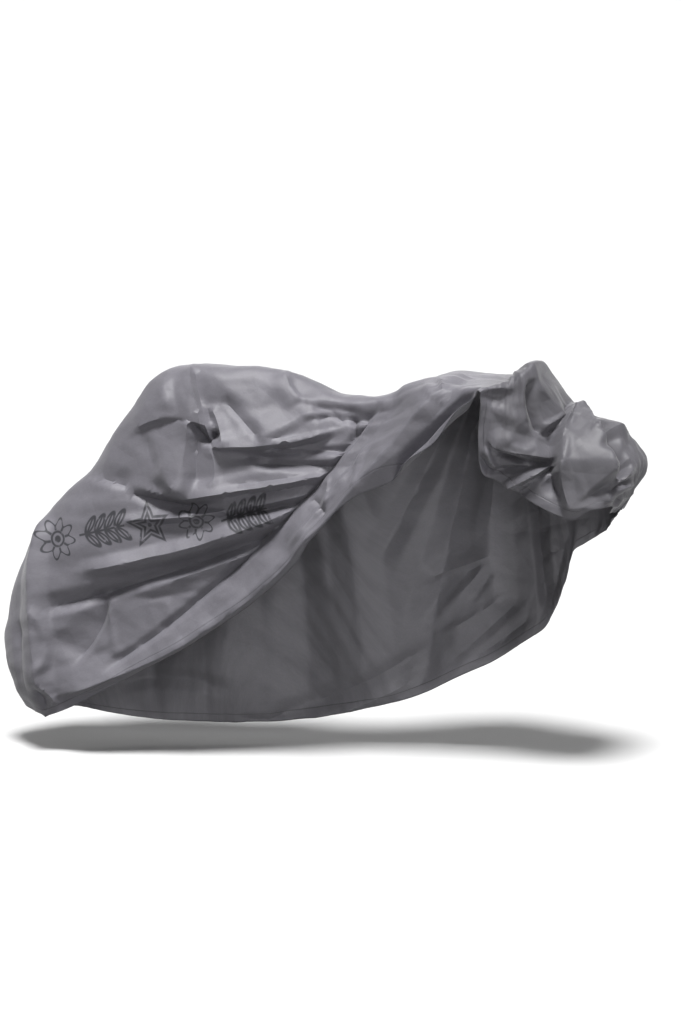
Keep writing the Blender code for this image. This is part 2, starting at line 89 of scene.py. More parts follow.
# The cloth's looks. A noise has `scale` waves to the metre, and `amount` says how much it counts.
OUTSIDE = (0.150, 0.145, 0.165)
INSIDE = (0.215, 0.210, 0.230)
OUTSIDE_ROUGHNESS = 0.44
INSIDE_ROUGHNESS = 0.50
DUST_ROUGHNESS = 0.16       # how much rougher the dustiest places are
SHEEN, SHEEN_ROUGHNESS = 0.12, 0.50
GLOSS = 0.45                # strength of the reflection, where 0.5 leaves it as it is
DARK, LIGHT = 0.80, 1.22    # darkest and lightest mottling, as shares of the colour
TONE_MIDDLE = 0.40          # the mottling's value at which it is half dark and half light
TONE_SOFT = 0.30            # and how far from that it reaches full dark or full light
Noise = namedtuple("Noise", "scale detail roughness amount", defaults=(1.0,))
MOTTLES = (Noise(7.0, 4.0, 0.55, 0.30), Noise(260.0, 2.0, 0.60, 0.25), Noise(28.0, 5.0, 0.65, 0.25))
BUNCH_EDGE = 0.04           # half the width over which the bunch's looks begin
BUNCH_PAINTED_SHADE = 0.40         # share of the painted shade colour mixed in where the sheet lies bunched: painted shade for the bunch's folds
# near-black colour of the painted shade that darkens the bunched part of the sheet
PAINTED_SHADE_COLOUR = (0.020, 0.020, 0.020)
HEM_TONE, HEM_SHARE = 0.70, 0.10        # the hem's tone as a share of the colour, and how much of it
WELD_COLOUR, WELD_SHARE = (0.030, 0.030, 0.035), 0.45

# The cloth's bumps. Heights, depths and widths are in metres, and slopes are rise over run.
BUMP_STRENGTH = 0.8
WEAVE = 0.0012              # from thread to thread
WEAVE_RISE = 0.00004
CRINKLE = Noise(42.0, 4.0, 0.55, 0.0008)
WIDE_FACET, WIDE_SLOPE = 0.14, 0.10
NARROW_FACET, NARROW_SLOPE = 0.05, 0.07
PLAIN_SHARE = 0.5           # share of the facets' slopes that is left outside the bunch
HEM_RISE = 0.0005           # the hem's second layer
WELD_DEPTH = 0.0007
WELD_HALF = 0.0009          # half the weld line's width
EDGE_WIDTH = 0.0018         # width of the dark cut edge
HEM_SOFT, EDGE_SOFT = 0.0006, 0.0012    # how softly the hem's lines and the cut edge end

# The print: plain motifs with their middles at (x, height), each about `size` from its middle to its
# tip and turned by `turn` radians
PRINT_COLOUR = (0.022, 0.022, 0.027)
PRINT_STRENGTH = 0.90
PRINT_LINE = 0.0055         # width of a drawn line
PRINT_WEAR = Noise(55.0, 3.0, 0.50)
WORN_ABOVE, WORN_SOFT = 0.66, 0.10      # value of that noise at which the print is worn off
Motif = namedtuple("Motif", "drawing x height size turn")
MOTIFS = [Motif(*row) for row in (
    ("rosette", -0.385, 0.532, 0.050, 0.0),
    ("sprig", -0.268, 0.560, 0.052, 0.25),
    ("star", -0.148, 0.577, 0.052, 0.20),
    ("rosette", -0.030, 0.590, 0.046, 0.3),
    ("sprig", 0.085, 0.608, 0.050, 0.30),
)]

# The stage
FLOOR_MIDDLE = 2.0          # radius of the floor's one large face
FLOOR_FLAT = 11.0           # radius of the floor's flat part
COVE = 5.0                  # radius in which the floor curves up
COVE_STEPS = 12
FLOOR_SIDES = 96
FLOOR_COLOUR = (0.62, 0.62, 0.62)
FLOOR_ROUGHNESS = 0.9
SUNS = (
    # name, way to the light, its angle in degrees, strength
    ("key", (0.04, -0.33, 0.94), 16.0, 5.1),
    ("fill", (0.35, -0.90, 0.25), 40.0, 0.75),
    ("back", (-0.20, 0.85, 0.45), 30.0, 0.65),
)
LAMP_PLACE = (1.60, -1.60, -0.75)       # a soft lamp low at the front
LAMP_AIM = (0.70, 0.05, -0.45)
LAMP_SIZE = 0.8
LAMP_POWER = 7.0
WORLD_STRENGTH = 0.16
CAMERA_TURN = 11.0          # degrees from straight ahead towards the front
CAMERA_RISE = 8.5           # degrees above the level
CAMERA_DISTANCE = 7.0
CAMERA_SENSOR = 36.0        # millimetres, as is the lens
CAMERA_LENS = 101.23
CAMERA_TARGET = Vector((0.3073, 0.0, -0.3555))

# A section across the cover. Heights are above the ground. The section runs from the near hem over
# the near shoulder, the ridge and the far shoulder to the far hem. A shoulder lies `drop` from the
# ridge towards the hem and at its own y. A bulge swells the wall between shoulder and hem.
Section = namedtuple(
    "Section",
    "name near_hem near_bulge near_shoulder near_drop "
    "ridge far_drop far_shoulder far_bulge far_hem",
)
SECTIONS = [Section(*row) for row in (
    ("rear hem", (-0.425, -0.085, 0.088), 0.0, -0.055, 0.04,
     (-0.497, -0.01, 0.098), 0.04, 0.05, 0.0, (-0.405, 0.07, 0.085)),
    ("rear low", (-0.394, -0.095, 0.1), 0.005, -0.08, 0.07,
     (-0.53, -0.005, 0.17), 0.07, 0.065, 0.005, (-0.372, 0.075, 0.081)),
    ("rear curve", (-0.345, -0.1, 0.122), 0.008, -0.085, 0.085,
     (-0.549, 0.0, 0.255), 0.08, 0.07, 0.008, (-0.335, 0.08, 0.073)),
    ("rear face", (-0.285, -0.105, 0.155), 0.01, -0.085, 0.085,
     (-0.541, 0.0, 0.325), 0.08, 0.075, 0.01, (-0.285, 0.09, 0.063)),
    ("rear wall", (-0.225, -0.105, 0.188), 0.012, -0.085, 0.085,
     (-0.517, 0.0, 0.412), 0.075, 0.075, 0.012, (-0.225, 0.1, 0.054)),
    ("rear slope", (-0.165, -0.103, 0.223), 0.015, -0.085, 0.08,
     (-0.475, 0.0, 0.515), 0.07, 0.08, 0.015, (-0.165, 0.11, 0.048)),
    ("slope middle", (-0.105, -0.1, 0.255), 0.018, -0.085, 0.07,
     (-0.403, 0.0, 0.616), 0.06, 0.08, 0.018, (-0.105, 0.12, 0.046)),
    ("slope top", (-0.05, -0.1, 0.287), 0.02, -0.08, 0.06,
     (-0.304, 0.0, 0.718), 0.05, 0.075, 0.02, (-0.05, 0.13, 0.044)),
    ("hump tail", (0.0, -0.1, 0.32), 0.022, -0.06, 0.052,
     (-0.225, 0.0, 0.838), 0.05, 0.062, 0.022, (0.0, 0.135, 0.044)),
    ("hump rear", (0.04, -0.1, 0.347), 0.024, -0.058, 0.04,
     (-0.168, 0.0, 0.914), 0.04, 0.06, 0.024, (0.05, 0.14, 0.044)),
    ("hump back", (0.08, -0.1, 0.375), 0.026, -0.056, 0.032,
     (-0.11, 0.0, 0.949), 0.032, 0.058, 0.024, (0.1, 0.145, 0.045)),
    ("hump wide", (0.118, -0.1, 0.405), 0.028, -0.055, 0.03,
     (-0.045, 0.0, 0.957), 0.03, 0.056, 0.024, (0.15, 0.15, 0.05)),
    ("hump middle", (0.155, -0.103, 0.436), 0.028, -0.048, 0.028,
     (0.03, 0.0, 0.959), 0.028, 0.05, 0.022, (0.2, 0.15, 0.058)),
    ("hump front", (0.19, -0.106, 0.468), 0.024, -0.04, 0.026,
     (0.1, 0.0, 0.955), 0.026, 0.044, 0.02, (0.25, 0.145, 0.07)),
    ("hump nose", (0.225, -0.11, 0.504), 0.018, -0.034, 0.024,
     (0.158, 0.0, 0.95), 0.024, 0.038, 0.018, (0.3, 0.14, 0.084)),
    ("dip start", (0.27, -0.116, 0.557), 0.01, -0.032, 0.02,
     (0.235, 0.0, 0.921), 0.018, 0.045, 0.016, (0.35, 0.135, 0.097)),
    ("dip", (0.327, -0.124, 0.617), 0.004, -0.04, 0.015,
     (0.32, 0.0, 0.892), 0.018, 0.045, 0.014, (0.4, 0.125, 0.11)),
    ("dip end", (0.385, -0.138, 0.669), 0.003, -0.048, 0.015,
     (0.395, 0.0, 0.889), 0.02, 0.055, 0.012, (0.45, 0.12, 0.125)),
    ("rise", (0.445, -0.152, 0.719), 0.003, -0.065, 0.018,
     (0.465, 0.0, 0.905), 0.025, 0.08, 0.01, (0.5, 0.112, 0.147)),
    ("rise top", (0.51, -0.166, 0.761), 0.003, -0.09, 0.02,
     (0.525, 0.005, 0.933), 0.03, 0.115, 0.008, (0.555, 0.102, 0.178)),
    ("crown back", (0.568, -0.178, 0.806), 0.003, -0.12, 0.02,
     (0.575, 0.015, 0.948), 0.035, 0.15, 0.005, (0.61, 0.09, 0.207)),
    ("crown near", (0.612, -0.188, 0.86), 0.002, -0.145, 0.018,
     (0.622, 0.02, 0.946), 0.04, 0.18, 0.0, (0.655, 0.08, 0.23)),
    ("crown middle", (0.648, -0.197, 0.905), 0.0, -0.165, 0.012,
     (0.668, 0.01, 0.945), 0.045, 0.19, 0.0, (0.695, 0.072, 0.255)),
    ("crown notch", (0.668, -0.203, 0.926), 0.0, -0.17, 0.01,
     (0.712, -0.03, 0.948), 0.05, 0.19, 0.0, (0.73, 0.066, 0.28)),
    ("peak back", (0.67, -0.195, 0.88), 0.004, -0.16, 0.022,
     (0.752, -0.085, 0.974), 0.07, 0.185, 0.0, (0.764, 0.062, 0.304)),
    ("peak", (0.664, -0.18, 0.812), 0.008, -0.16, 0.035,
     (0.784, -0.105, 0.988), 0.09, 0.175, 0.004, (0.792, 0.062, 0.325)),
    ("peak front", (0.669, -0.152, 0.732), 0.014, -0.15, 0.055,
     (0.808, -0.075, 0.95), 0.07, 0.165, 0.008, (0.813, 0.064, 0.36)),
    ("bunch left", (0.7, -0.142, 0.714), 0.018, -0.135, 0.065,
     (0.83, -0.02, 0.914), 0.055, 0.155, 0.01, (0.832, 0.068, 0.41)),
    ("bunch pocket", (0.74, -0.145, 0.694), 0.02, -0.12, 0.06,
     (0.862, 0.04, 0.873), 0.045, 0.15, 0.01, (0.848, 0.072, 0.465)),
    ("bunch crumple", (0.795, -0.15, 0.66), 0.014, -0.115, 0.06,
     (0.905, 0.055, 0.85), 0.04, 0.145, 0.01, (0.86, 0.078, 0.515)),
    ("flap left", (0.848, -0.155, 0.636), 0.01, -0.11, 0.06,
     (0.948, 0.05, 0.834), 0.04, 0.135, 0.01, (0.885, 0.088, 0.532)),
    ("flap tip", (0.889, -0.155, 0.628), 0.008, -0.105, 0.055,
     (0.985, 0.04, 0.806), 0.04, 0.12, 0.01, (0.905, 0.092, 0.545)),
    ("flap right", (0.922, -0.15, 0.648), 0.008, -0.1, 0.05,
     (1.016, 0.03, 0.782), 0.04, 0.105, 0.008, (0.922, 0.09, 0.556)),
    ("flap corner", (0.948, -0.136, 0.662), 0.012, -0.09, 0.04,
     (1.034, 0.02, 0.755), 0.04, 0.09, 0.006, (0.936, 0.085, 0.566)),
    ("front face", (0.964, -0.108, 0.66), 0.008, -0.07, 0.035,
     (1.033, 0.01, 0.722), 0.035, 0.075, 0.004, (0.944, 0.078, 0.578)),
    ("front tuck", (0.968, -0.084, 0.646), 0.004, -0.055, 0.028,
     (1.008, 0.004, 0.682), 0.03, 0.06, 0.002, (0.95, 0.07, 0.59)),
    ("front hem", (0.962, -0.062, 0.63), 0.0, -0.04, 0.02,
     (0.984, 0.0, 0.636), 0.02, 0.045, 0.0, (0.955, 0.06, 0.602)),
)]

# Folds. Each runs from `start` through `middle` to `end`, all (x, height), from the rear to the
# front or from the top down. `upper` and `lower` are its reach to either side: up and down, or, for
# a fold that runs down, to the front and to the rear. `rise` is outward, so a trough is negative.
# `fade` is the share of the length over which an end dies away. `fan` is the share by which the reach
# grows towards the end and shrinks towards the start. `lean` pushes the crest over its lower side. The
# last two say how full a side is: 1 is a flat side, like a roof's, and 2 a soft roll. The last four
# may be left out. A fold of the side "under" is on the near side and passes under the long roll.
Fold = namedtuple(
    "Fold",
    "name side start middle end upper lower rise fade fan lean upper_full lower_full",
    defaults=(0.0, 0.0, 1.0, 1.0),
)
FOLDS = [Fold(*row) for row in (
    # the main hump, near side
    ("rear lip", "near", (-0.22, 0.779), (-0.1, 0.838), (0.018, 0.809),
     0.083, 0.007, 0.013, 0.25, -0.2, 0.003),
    ("front lip", "near", (-0.012, 0.777), (0.106, 0.775), (0.3, 0.811),
     0.088, 0.012, 0.03, 0.14, 0.2, 0.006),
    ("pocket left", "near", (-0.044, 0.826), (-0.024, 0.807), (-0.002, 0.774), 0.012, 0.015, -0.024, 0.25),
    ("pocket right", "near", (0.023, 0.813), (0.01, 0.796), (-0.002, 0.771), 0.015, 0.01, -0.022, 0.25),
    ("top edge", "near", (-0.065, 0.967), (-0.043, 0.895), (0.011, 0.804), 0.007, 0.049, 0.013, 0.12, 0.4),
    ("top valley", "near", (-0.052, 0.962), (-0.031, 0.885), (0.028, 0.775),
     0.069, 0.007, -0.018, 0.14, 0.4),
    ("pocket fold", "near", (-0.004, 0.876), (0.023, 0.828), (0.042, 0.769),
     0.017, 0.012, 0.012, 0.25, 0.0, 0.002),
    ("soft rear", "near", (-0.107, 0.947), (-0.115, 0.903), (-0.086, 0.85),
     0.01, 0.029, 0.006, 0.35, 0.0, 0.0, 1.0, 1.2),
    ("front corner", "near", (0.169, 0.959), (0.184, 0.912), (0.22, 0.874), 0.01, 0.042, 0.013, 0.2),
    ("v left", "near", (0.023, 0.891), (0.074, 0.839), (0.125, 0.79), 0.02, 0.01, -0.009, 0.15),
    ("v right", "near", (0.116, 0.79), (0.184, 0.822), (0.257, 0.872), 0.064, 0.017, 0.013, 0.12, 0.3),
    # below the hump: the packing crease and the folds that run to the front
    ("packing crease", "near", (-0.048, 0.835), (-0.057, 0.738), (-0.067, 0.636),
     0.02, 0.103, 0.022, 0.06, 0.5),
    ("second crease", "near", (0.0, 0.774), (0.015, 0.721), (0.012, 0.667), 0.01, 0.015, 0.007, 0.2),
    ("recess", "near", (-0.029, 0.821), (-0.034, 0.739), (-0.03, 0.666), 0.02, 0.01, -0.007, 0.2),
    ("under lip", "under", (0.035, 0.745), (0.177, 0.751), (0.4, 0.774), 0.015, 0.02, -0.016, 0.2),
    ("lip line", "under", (0.106, 0.78), (0.203, 0.792), (0.337, 0.819), 0.007, 0.012, 0.008, 0.25),
    ("middle ridge", "under", (0.106, 0.763), (0.24, 0.757), (0.433, 0.747),
     0.01, 0.022, 0.018, 0.16, 0.4, 0.002),
    ("middle valley", "under", (0.089, 0.732), (0.238, 0.731), (0.431, 0.727),
     0.012, 0.02, -0.018, 0.22, 0.4),
    ("middle line", "under", (0.01, 0.672), (0.152, 0.695), (0.4, 0.726), 0.017, 0.007, -0.01, 0.2),
    ("tension one", "under", (-0.077, 0.642), (0.135, 0.679), (0.402, 0.727),
     0.049, 0.012, 0.026, 0.12, 0.3, 0.002),
    ("tension one rear", "near", (-0.146, 0.718), (-0.092, 0.681), (-0.047, 0.643),
     0.083, 0.025, 0.02, 0.3, -0.3),
    ("tension valley", "under", (-0.229, 0.661), (0.017, 0.621), (0.352, 0.698),
     0.02, 0.025, -0.022, 0.16, 0.3),
    ("tension two", "under", (-0.257, 0.583), (0.056, 0.622), (0.402, 0.713),
     0.02, 0.015, 0.022, 0.2, 0.2, 0.002),
    ("tension two valley", "under", (-0.008, 0.594), (0.176, 0.628), (0.376, 0.696),
     0.012, 0.02, -0.015, 0.2),
    ("sweep crease", "near", (-0.357, 0.695), (-0.276, 0.685), (-0.187, 0.661),
     0.049, 0.012, -0.011, 0.2, -0.4),
    ("print ridge", "under", (-0.37, 0.452), (0.006, 0.545), (0.339, 0.687), 0.027, 0.027, 0.027, 0.2, 0.1),
    ("middle crease", "under", (-0.45, 0.349), (-0.121, 0.451), (0.298, 0.622),
     0.032, 0.017, -0.022, 0.12, -0.2),
    ("under crease", "under", (-0.242, 0.405), (-0.022, 0.467), (0.215, 0.567), 0.02, 0.022, 0.008, 0.25),
    # the rear face
    ("rear fold", "near", (-0.432, 0.594), (-0.441, 0.368), (-0.424, 0.136), 0.034, 0.049, 0.032, 0.1, 0.2),
    ("rear pinch", "near", (-0.448, 0.37), (-0.407, 0.279), (-0.433, 0.191), 0.02, 0.015, 0.01, 0.2),
    ("rear strip", "near", (-0.498, 0.35), (-0.485, 0.25), (-0.466, 0.125), 0.022, 0.025, -0.009, 0.25),
    ("shade", "near", (-0.25, 0.418), (-0.266, 0.333), (-0.348, 0.226), 0.01, 0.073, -0.018, 0.2, 0.4),
    ("upright crease", "near", (-0.255, 0.423), (-0.246, 0.339), (-0.232, 0.245), 0.01, 0.01, 0.005, 0.15),
    ("small crease", "near", (-0.104, 0.398), (-0.1, 0.369), (-0.11, 0.334), 0.01, 0.012, 0.004, 0.3),
    ("low wrinkle one", "near", (-0.187, 0.415), (-0.111, 0.443), (-0.024, 0.46), 0.01, 0.01, 0.004, 0.3),
    ("low wrinkle two", "near", (-0.175, 0.391), (-0.094, 0.409), (-0.009, 0.421), 0.01, 0.01, -0.004, 0.3),
    ("hem corner one", "near", (-0.432, 0.179), (-0.406, 0.154), (-0.386, 0.115), 0.01, 0.012, 0.009, 0.3),
    ("hem corner two", "near", (-0.447, 0.168), (-0.427, 0.138), (-0.423, 0.098), 0.01, 0.01, -0.009, 0.3),
    ("mark crease", "near", (-0.369, 0.735), (-0.313, 0.759), (-0.243, 0.79), 0.012, 0.012, -0.005, 0.3),
    ("upper facet", "near", (-0.175, 0.807), (-0.146, 0.745), (-0.077, 0.654), 0.012, 0.039, -0.007, 0.2),
    # the long roll beside the near hem
    ("roll low", "near", (-0.415, 0.142), (0.0, 0.33), (0.291, 0.595), 0.069, 0.017, 0.03, 0.12, 0.1),
    ("roll edge", "near", (-0.272, 0.208), (0.087, 0.496), (0.421, 0.889), 0.017, 0.007, -0.012, 0.08),
    ("roll low edge", "near", (-0.146, 0.248), (0.079, 0.403), (0.237, 0.569), 0.012, 0.015, 0.005, 0.2),
    ("roll high", "near", (0.212, 0.504), (0.415, 0.721), (0.586, 0.933), 0.088, 0.02, 0.034, 0.14, 0.1),
    ("roll facet", "near", (0.479, 0.903), (0.402, 0.812), (0.321, 0.691), 0.054, 0.022, -0.011, 0.2),
    ("roll inner", "near", (0.183, 0.517), (0.304, 0.656), (0.405, 0.801), 0.01, 0.012, 0.007, 0.2),
    ("roll cross", "near", (0.249, 0.653), (0.278, 0.634), (0.302, 0.606), 0.01, 0.01, -0.007, 0.2),
    ("roll upright", "near", (0.29, 0.706), (0.295, 0.673), (0.293, 0.635), 0.01, 0.012, 0.007, 0.2),
    ("roll side", "near", (0.381, 0.782), (0.372, 0.719), (0.382, 0.672), 0.012, 0.012, 0.006, 0.25),
    ("hem valley", "near", (0.356, 0.626), (0.509, 0.787), (0.669, 0.941), 0.012, 0.012, -0.03, 0.18, 0.1),
    ("hem strip", "near", (0.376, 0.622), (0.524, 0.773), (0.669, 0.922), 0.01, 0.02, 0.012, 0.2),
    # the dip and the rise to the crown, near side
    ("dip crease", "near", (0.21, 0.883), (0.279, 0.875), (0.381, 0.863), 0.034, 0.01, 0.01, 0.25),
    ("dip crumple one", "under", (0.219, 0.838), (0.268, 0.851), (0.307, 0.84), 0.007, 0.01, 0.008, 0.25),
    ("dip crumple two", "under", (0.254, 0.834), (0.293, 0.844), (0.331, 0.821), 0.01, 0.007, -0.009, 0.25),
    ("dip upright one", "under", (0.361, 0.841), (0.366, 0.803), (0.361, 0.764), 0.007, 0.01, 0.009, 0.2),
    ("dip upright two", "under", (0.346, 0.85), (0.349, 0.802), (0.341, 0.759), 0.007, 0.01, -0.012, 0.2),
    ("rise band", "near", (0.313, 0.871), (0.4, 0.873), (0.518, 0.923), 0.025, 0.015, 0.01, 0.25),
    ("rise valley", "under", (0.307, 0.84), (0.394, 0.846), (0.49, 0.896), 0.012, 0.017, -0.012, 0.2),
    ("rise crumple one", "near", (0.529, 0.927), (0.567, 0.904), (0.596, 0.891), 0.012, 0.015, 0.007, 0.25),
    ("rise crumple two", "near", (0.557, 0.942), (0.577, 0.923), (0.581, 0.9), 0.007, 0.01, 0.008, 0.25),
    ("crown crease", "near", (0.572, 0.931), (0.656, 0.951), (0.764, 0.953), 0.01, 0.012, -0.01, 0.25),
    ("crown crease two", "near", (0.6, 0.913), (0.68, 0.933), (0.76, 0.93), 0.007, 0.01, 0.008, 0.3),
    # the bunch at the front, near side
    ("crown valley", "near", (0.669, 0.916), (0.716, 0.913), (0.771, 0.946),
     0.029, 0.025, -0.012, 0.35, 0.0, 0.0, 1.2, 1.2),
    ("smooth panel", "near", (0.73, 0.896), (0.745, 0.844), (0.712, 0.797),
     0.034, 0.039, 0.014, 0.3, 0.0, 0.0, 1.0, 1.2),
    ("peak valley", "near", (0.784, 0.957), (0.787, 0.883), (0.806, 0.813), 0.012, 0.015, -0.024, 0.2, 0.3),
    ("peak ridge", "near", (0.805, 0.953), (0.824, 0.898), (0.843, 0.842), 0.012, 0.02, 0.013, 0.25),
    ("peak crumple", "near", (0.805, 0.838), (0.828, 0.848), (0.853, 0.864), 0.01, 0.01, 0.009, 0.3),
    ("peak crumple two", "near", (0.805, 0.817), (0.823, 0.831), (0.847, 0.839), 0.007, 0.007, -0.008, 0.3),
    ("bunch one", "near", (0.678, 0.816), (0.763, 0.785), (0.847, 0.773),
     0.034, 0.007, 0.022, 0.15, -0.3, 0.004),
    ("bunch two", "near", (0.692, 0.79), (0.758, 0.766), (0.845, 0.759), 0.007, 0.012, -0.024, 0.2),
    ("bunch three", "near", (0.74, 0.678), (0.801, 0.718), (0.847, 0.759), 0.012, 0.012, -0.018, 0.2, -0.3),
    ("bunch four", "near", (0.688, 0.779), (0.751, 0.778), (0.796, 0.748), 0.01, 0.012, 0.013, 0.2),
    ("bunch fold", "near", (0.717, 0.692), (0.796, 0.736), (0.847, 0.766),
     0.015, 0.01, 0.018, 0.15, 0.0, 0.003),
    ("bunch low valley", "near", (0.669, 0.738), (0.735, 0.74), (0.819, 0.756), 0.01, 0.01, -0.012, 0.25),
    ("bunch five", "near", (0.678, 0.799), (0.688, 0.767), (0.712, 0.73), 0.01, 0.01, 0.011, 0.25),
    ("bunch six", "near", (0.662, 0.785), (0.674, 0.757), (0.693, 0.722), 0.01, 0.01, -0.01, 0.25),
    ("bunch seven", "near", (0.734, 0.81), (0.758, 0.797), (0.796, 0.793), 0.007, 0.01, 0.007, 0.3),
    ("spine", "near", (0.859, 0.894), (0.846, 0.786), (0.89, 0.627), 0.069, 0.012, 0.028, 0.1, 0.8),
    ("spine shade", "near", (0.831, 0.851), (0.828, 0.767), (0.847, 0.673), 0.01, 0.029, -0.022, 0.2),
    ("flap break", "near", (0.835, 0.76), (0.905, 0.757), (0.984, 0.733), 0.088, 0.064, 0.024, 0.12),
    ("flap edge", "near", (0.865, 0.883), (0.917, 0.805), (0.983, 0.723),
     0.007, 0.059, 0.036, 0.08, 0.8, -0.004),
    ("flap gap", "near", (0.885, 0.866), (0.937, 0.8), (0.999, 0.719), 0.022, 0.012, -0.04, 0.16, 0.5),
    ("brow", "near", (0.902, 0.803), (0.961, 0.812), (1.025, 0.776), 0.025, 0.01, 0.026, 0.2, 0.3, 0.003),
    ("hollow", "near", (0.928, 0.79), (0.969, 0.765), (1.002, 0.723), 0.02, 0.017, -0.034, 0.2),
    ("hollow wrinkle", "near", (0.969, 0.734), (0.988, 0.753), (1.011, 0.763), 0.007, 0.01, 0.009, 0.25),
    ("front fold one", "near", (0.853, 0.896), (0.934, 0.841), (1.029, 0.786),
     0.015, 0.02, 0.01, 0.25, 0.4),
    ("front fold two", "near", (0.868, 0.863), (0.91, 0.84), (0.944, 0.803), 0.01, 0.012, -0.011, 0.25),
    ("front fold three", "near", (0.944, 0.842), (0.987, 0.805), (1.02, 0.768), 0.01, 0.012, -0.007, 0.25),
    ("ruffle one", "near", (0.95, 0.666), (0.98, 0.691), (1.017, 0.706), 0.007, 0.01, 0.01, 0.25),
    ("ruffle three", "near", (0.966, 0.648), (0.985, 0.67), (1.013, 0.682), 0.007, 0.01, 0.008, 0.25),
    ("ruffle two", "near", (0.964, 0.686), (0.991, 0.705), (1.024, 0.725), 0.007, 0.01, -0.009, 0.25),
    ("flap left edge", "near", (0.731, 0.688), (0.792, 0.713), (0.848, 0.752), 0.007, 0.015, 0.014, 0.25),
    ("flap dimple", "near", (0.825, 0.718), (0.844, 0.691), (0.858, 0.653), 0.015, 0.017, -0.006, 0.3),
    # the far side: what shows from inside
    ("wedge left", "far", (0.727, 0.831), (0.764, 0.588), (0.793, 0.353),
     0.032, 0.017, 0.028, 0.15, -0.3, 0.0, 1.1),
    ("wedge right", "far", (0.851, 0.581), (0.826, 0.487), (0.803, 0.363), 0.015, 0.029, 0.009, 0.25, -0.4),
    ("wedge crease", "far", (0.769, 0.5), (0.799, 0.508), (0.828, 0.512), 0.007, 0.01, 0.005, 0.25),
    ("pull one", "far", (0.485, 0.29), (0.572, 0.385), (0.655, 0.482), 0.02, 0.02, -0.013, 0.15, -0.3),
    ("pull two", "far", (0.485, 0.27), (0.599, 0.331), (0.707, 0.404), 0.012, 0.017, -0.009, 0.2, -0.3),
    ("pull three", "far", (0.526, 0.204), (0.634, 0.298), (0.741, 0.406), 0.022, 0.022, 0.015, 0.2, -0.3),
    ("pull four", "far", (0.59, 0.226), (0.678, 0.285), (0.771, 0.362), 0.012, 0.015, 0.008, 0.2, -0.3),
    ("pull five", "far", (0.599, 0.371), (0.638, 0.417), (0.677, 0.468), 0.012, 0.012, 0.007, 0.25),
    ("low sweep one", "far", (0.048, 0.034), (0.278, 0.13), (0.529, 0.276), 0.029, 0.032, 0.018, 0.2, -0.3),
    ("low sweep two", "far", (0.176, 0.055), (0.354, 0.113), (0.509, 0.205), 0.015, 0.017, -0.01, 0.25),
    ("low sweep three", "far", (-0.335, 0.125), (-0.153, 0.153), (0.027, 0.124), 0.027, 0.029, 0.012, 0.3),
    ("low corner", "far", (0.002, 0.063), (0.079, 0.051), (0.15, 0.079), 0.015, 0.017, 0.01, 0.3),
    ("dark tuck", "far", (0.477, 0.42), (0.576, 0.461), (0.679, 0.496), 0.034, 0.01, -0.017, 0.2),
    # the far side, seen from behind
    ("far upright one", "far", (-0.105, 0.93), (-0.176, 0.44), (-0.212, 0.04),
     0.06, 0.07, 0.036, 0.12, 0.5),
    ("far upright two", "far", (0.03, 0.9), (0.003, 0.4), (-0.028, 0.01),
     0.062, 0.066, -0.028, 0.2, 0.5, 0.0, 1.3, 1.3),
    ("far upright three", "far", (0.125, 0.93), (0.172, 0.42), (0.192, 0.01),
     0.066, 0.062, 0.032, 0.2, 0.5, 0.0, 1.2, 1.2),
    ("far upright four", "far", (0.235, 0.88), (0.326, 0.43), (0.345, 0.06),
     0.06, 0.062, -0.026, 0.2, 0.5, 0.0, 1.3, 1.3),
    ("far sweep one", "far", (0.64, 0.91), (0.546, 0.5), (0.47, 0.11), 0.056, 0.052, 0.036, 0.14, 0.4),
    ("far sweep two", "far", (0.69, 0.9), (0.654, 0.59), (0.68, 0.33), 0.046, 0.046, -0.028, 0.18, 0.3),
    ("far sweep three", "far", (0.59, 0.9), (0.48, 0.66), (0.345, 0.42), 0.034, 0.04, 0.024, 0.22, 0.4),
    ("far hump fold", "far", (-0.14, 0.92), (-0.215, 0.76), (-0.33, 0.56), 0.045, 0.04, 0.026, 0.2, 0.3),
    ("far sling", "far", (-0.3, 0.62), (-0.06, 0.53), (0.26, 0.56), 0.044, 0.045, -0.024, 0.25),
    ("far tension one", "far", (-0.12, 0.85), (0.07, 0.715), (0.33, 0.7),
     0.05, 0.05, 0.02, 0.25, 0.3, 0.004, 1.3, 1.3),
    ("far tension two", "far", (-0.1, 0.73), (0.11, 0.61), (0.36, 0.6),
     0.044, 0.044, -0.018, 0.3, 0.3, 0.0, 1.3, 1.3),
    ("far tension three", "far", (-0.33, 0.56), (-0.08, 0.42), (0.24, 0.4),
     0.044, 0.044, 0.018, 0.3, 0.0, 0.0, 1.2, 1.2),
    ("far rear one", "far", (-0.48, 0.47), (-0.3, 0.33), (-0.2, 0.12), 0.05, 0.045, 0.026, 0.25, -0.2),
    ("far rear two", "far", (-0.3, 0.7), (-0.35, 0.52), (-0.42, 0.3), 0.042, 0.046, -0.024, 0.25, 0.2),
    ("far rear three", "far", (-0.48, 0.38), (-0.43, 0.25), (-0.4, 0.11), 0.026, 0.034, 0.016, 0.25),
    ("far crown one", "far", (0.54, 0.915), (0.44, 0.8), (0.34, 0.74), 0.026, 0.03, 0.016, 0.25),
    ("far bunch one", "far", (0.745, 0.94), (0.785, 0.82), (0.78, 0.66), 0.03, 0.03, 0.024, 0.22),
    ("far bunch two", "far", (0.88, 0.85), (0.9, 0.74), (0.88, 0.61), 0.034, 0.034, -0.026, 0.25),
    ("far bunch three", "far", (0.72, 0.79), (0.83, 0.73), (0.95, 0.74), 0.022, 0.026, 0.014, 0.3),
)]
ROLL_EDGE = next(fold for fold in FOLDS if fold.name == "roll edge")


# ---- the sheet's shape ----------------------------------------------------------------------------

def smooth_step(value):
    value = np.clip(value, 0.0, 1.0)
    return value * value * (3.0 - 2.0 * value)


def unit(vectors):
    return vectors / np.maximum(np.linalg.norm(vectors, axis=-1, keepdims=True), 1e-12)


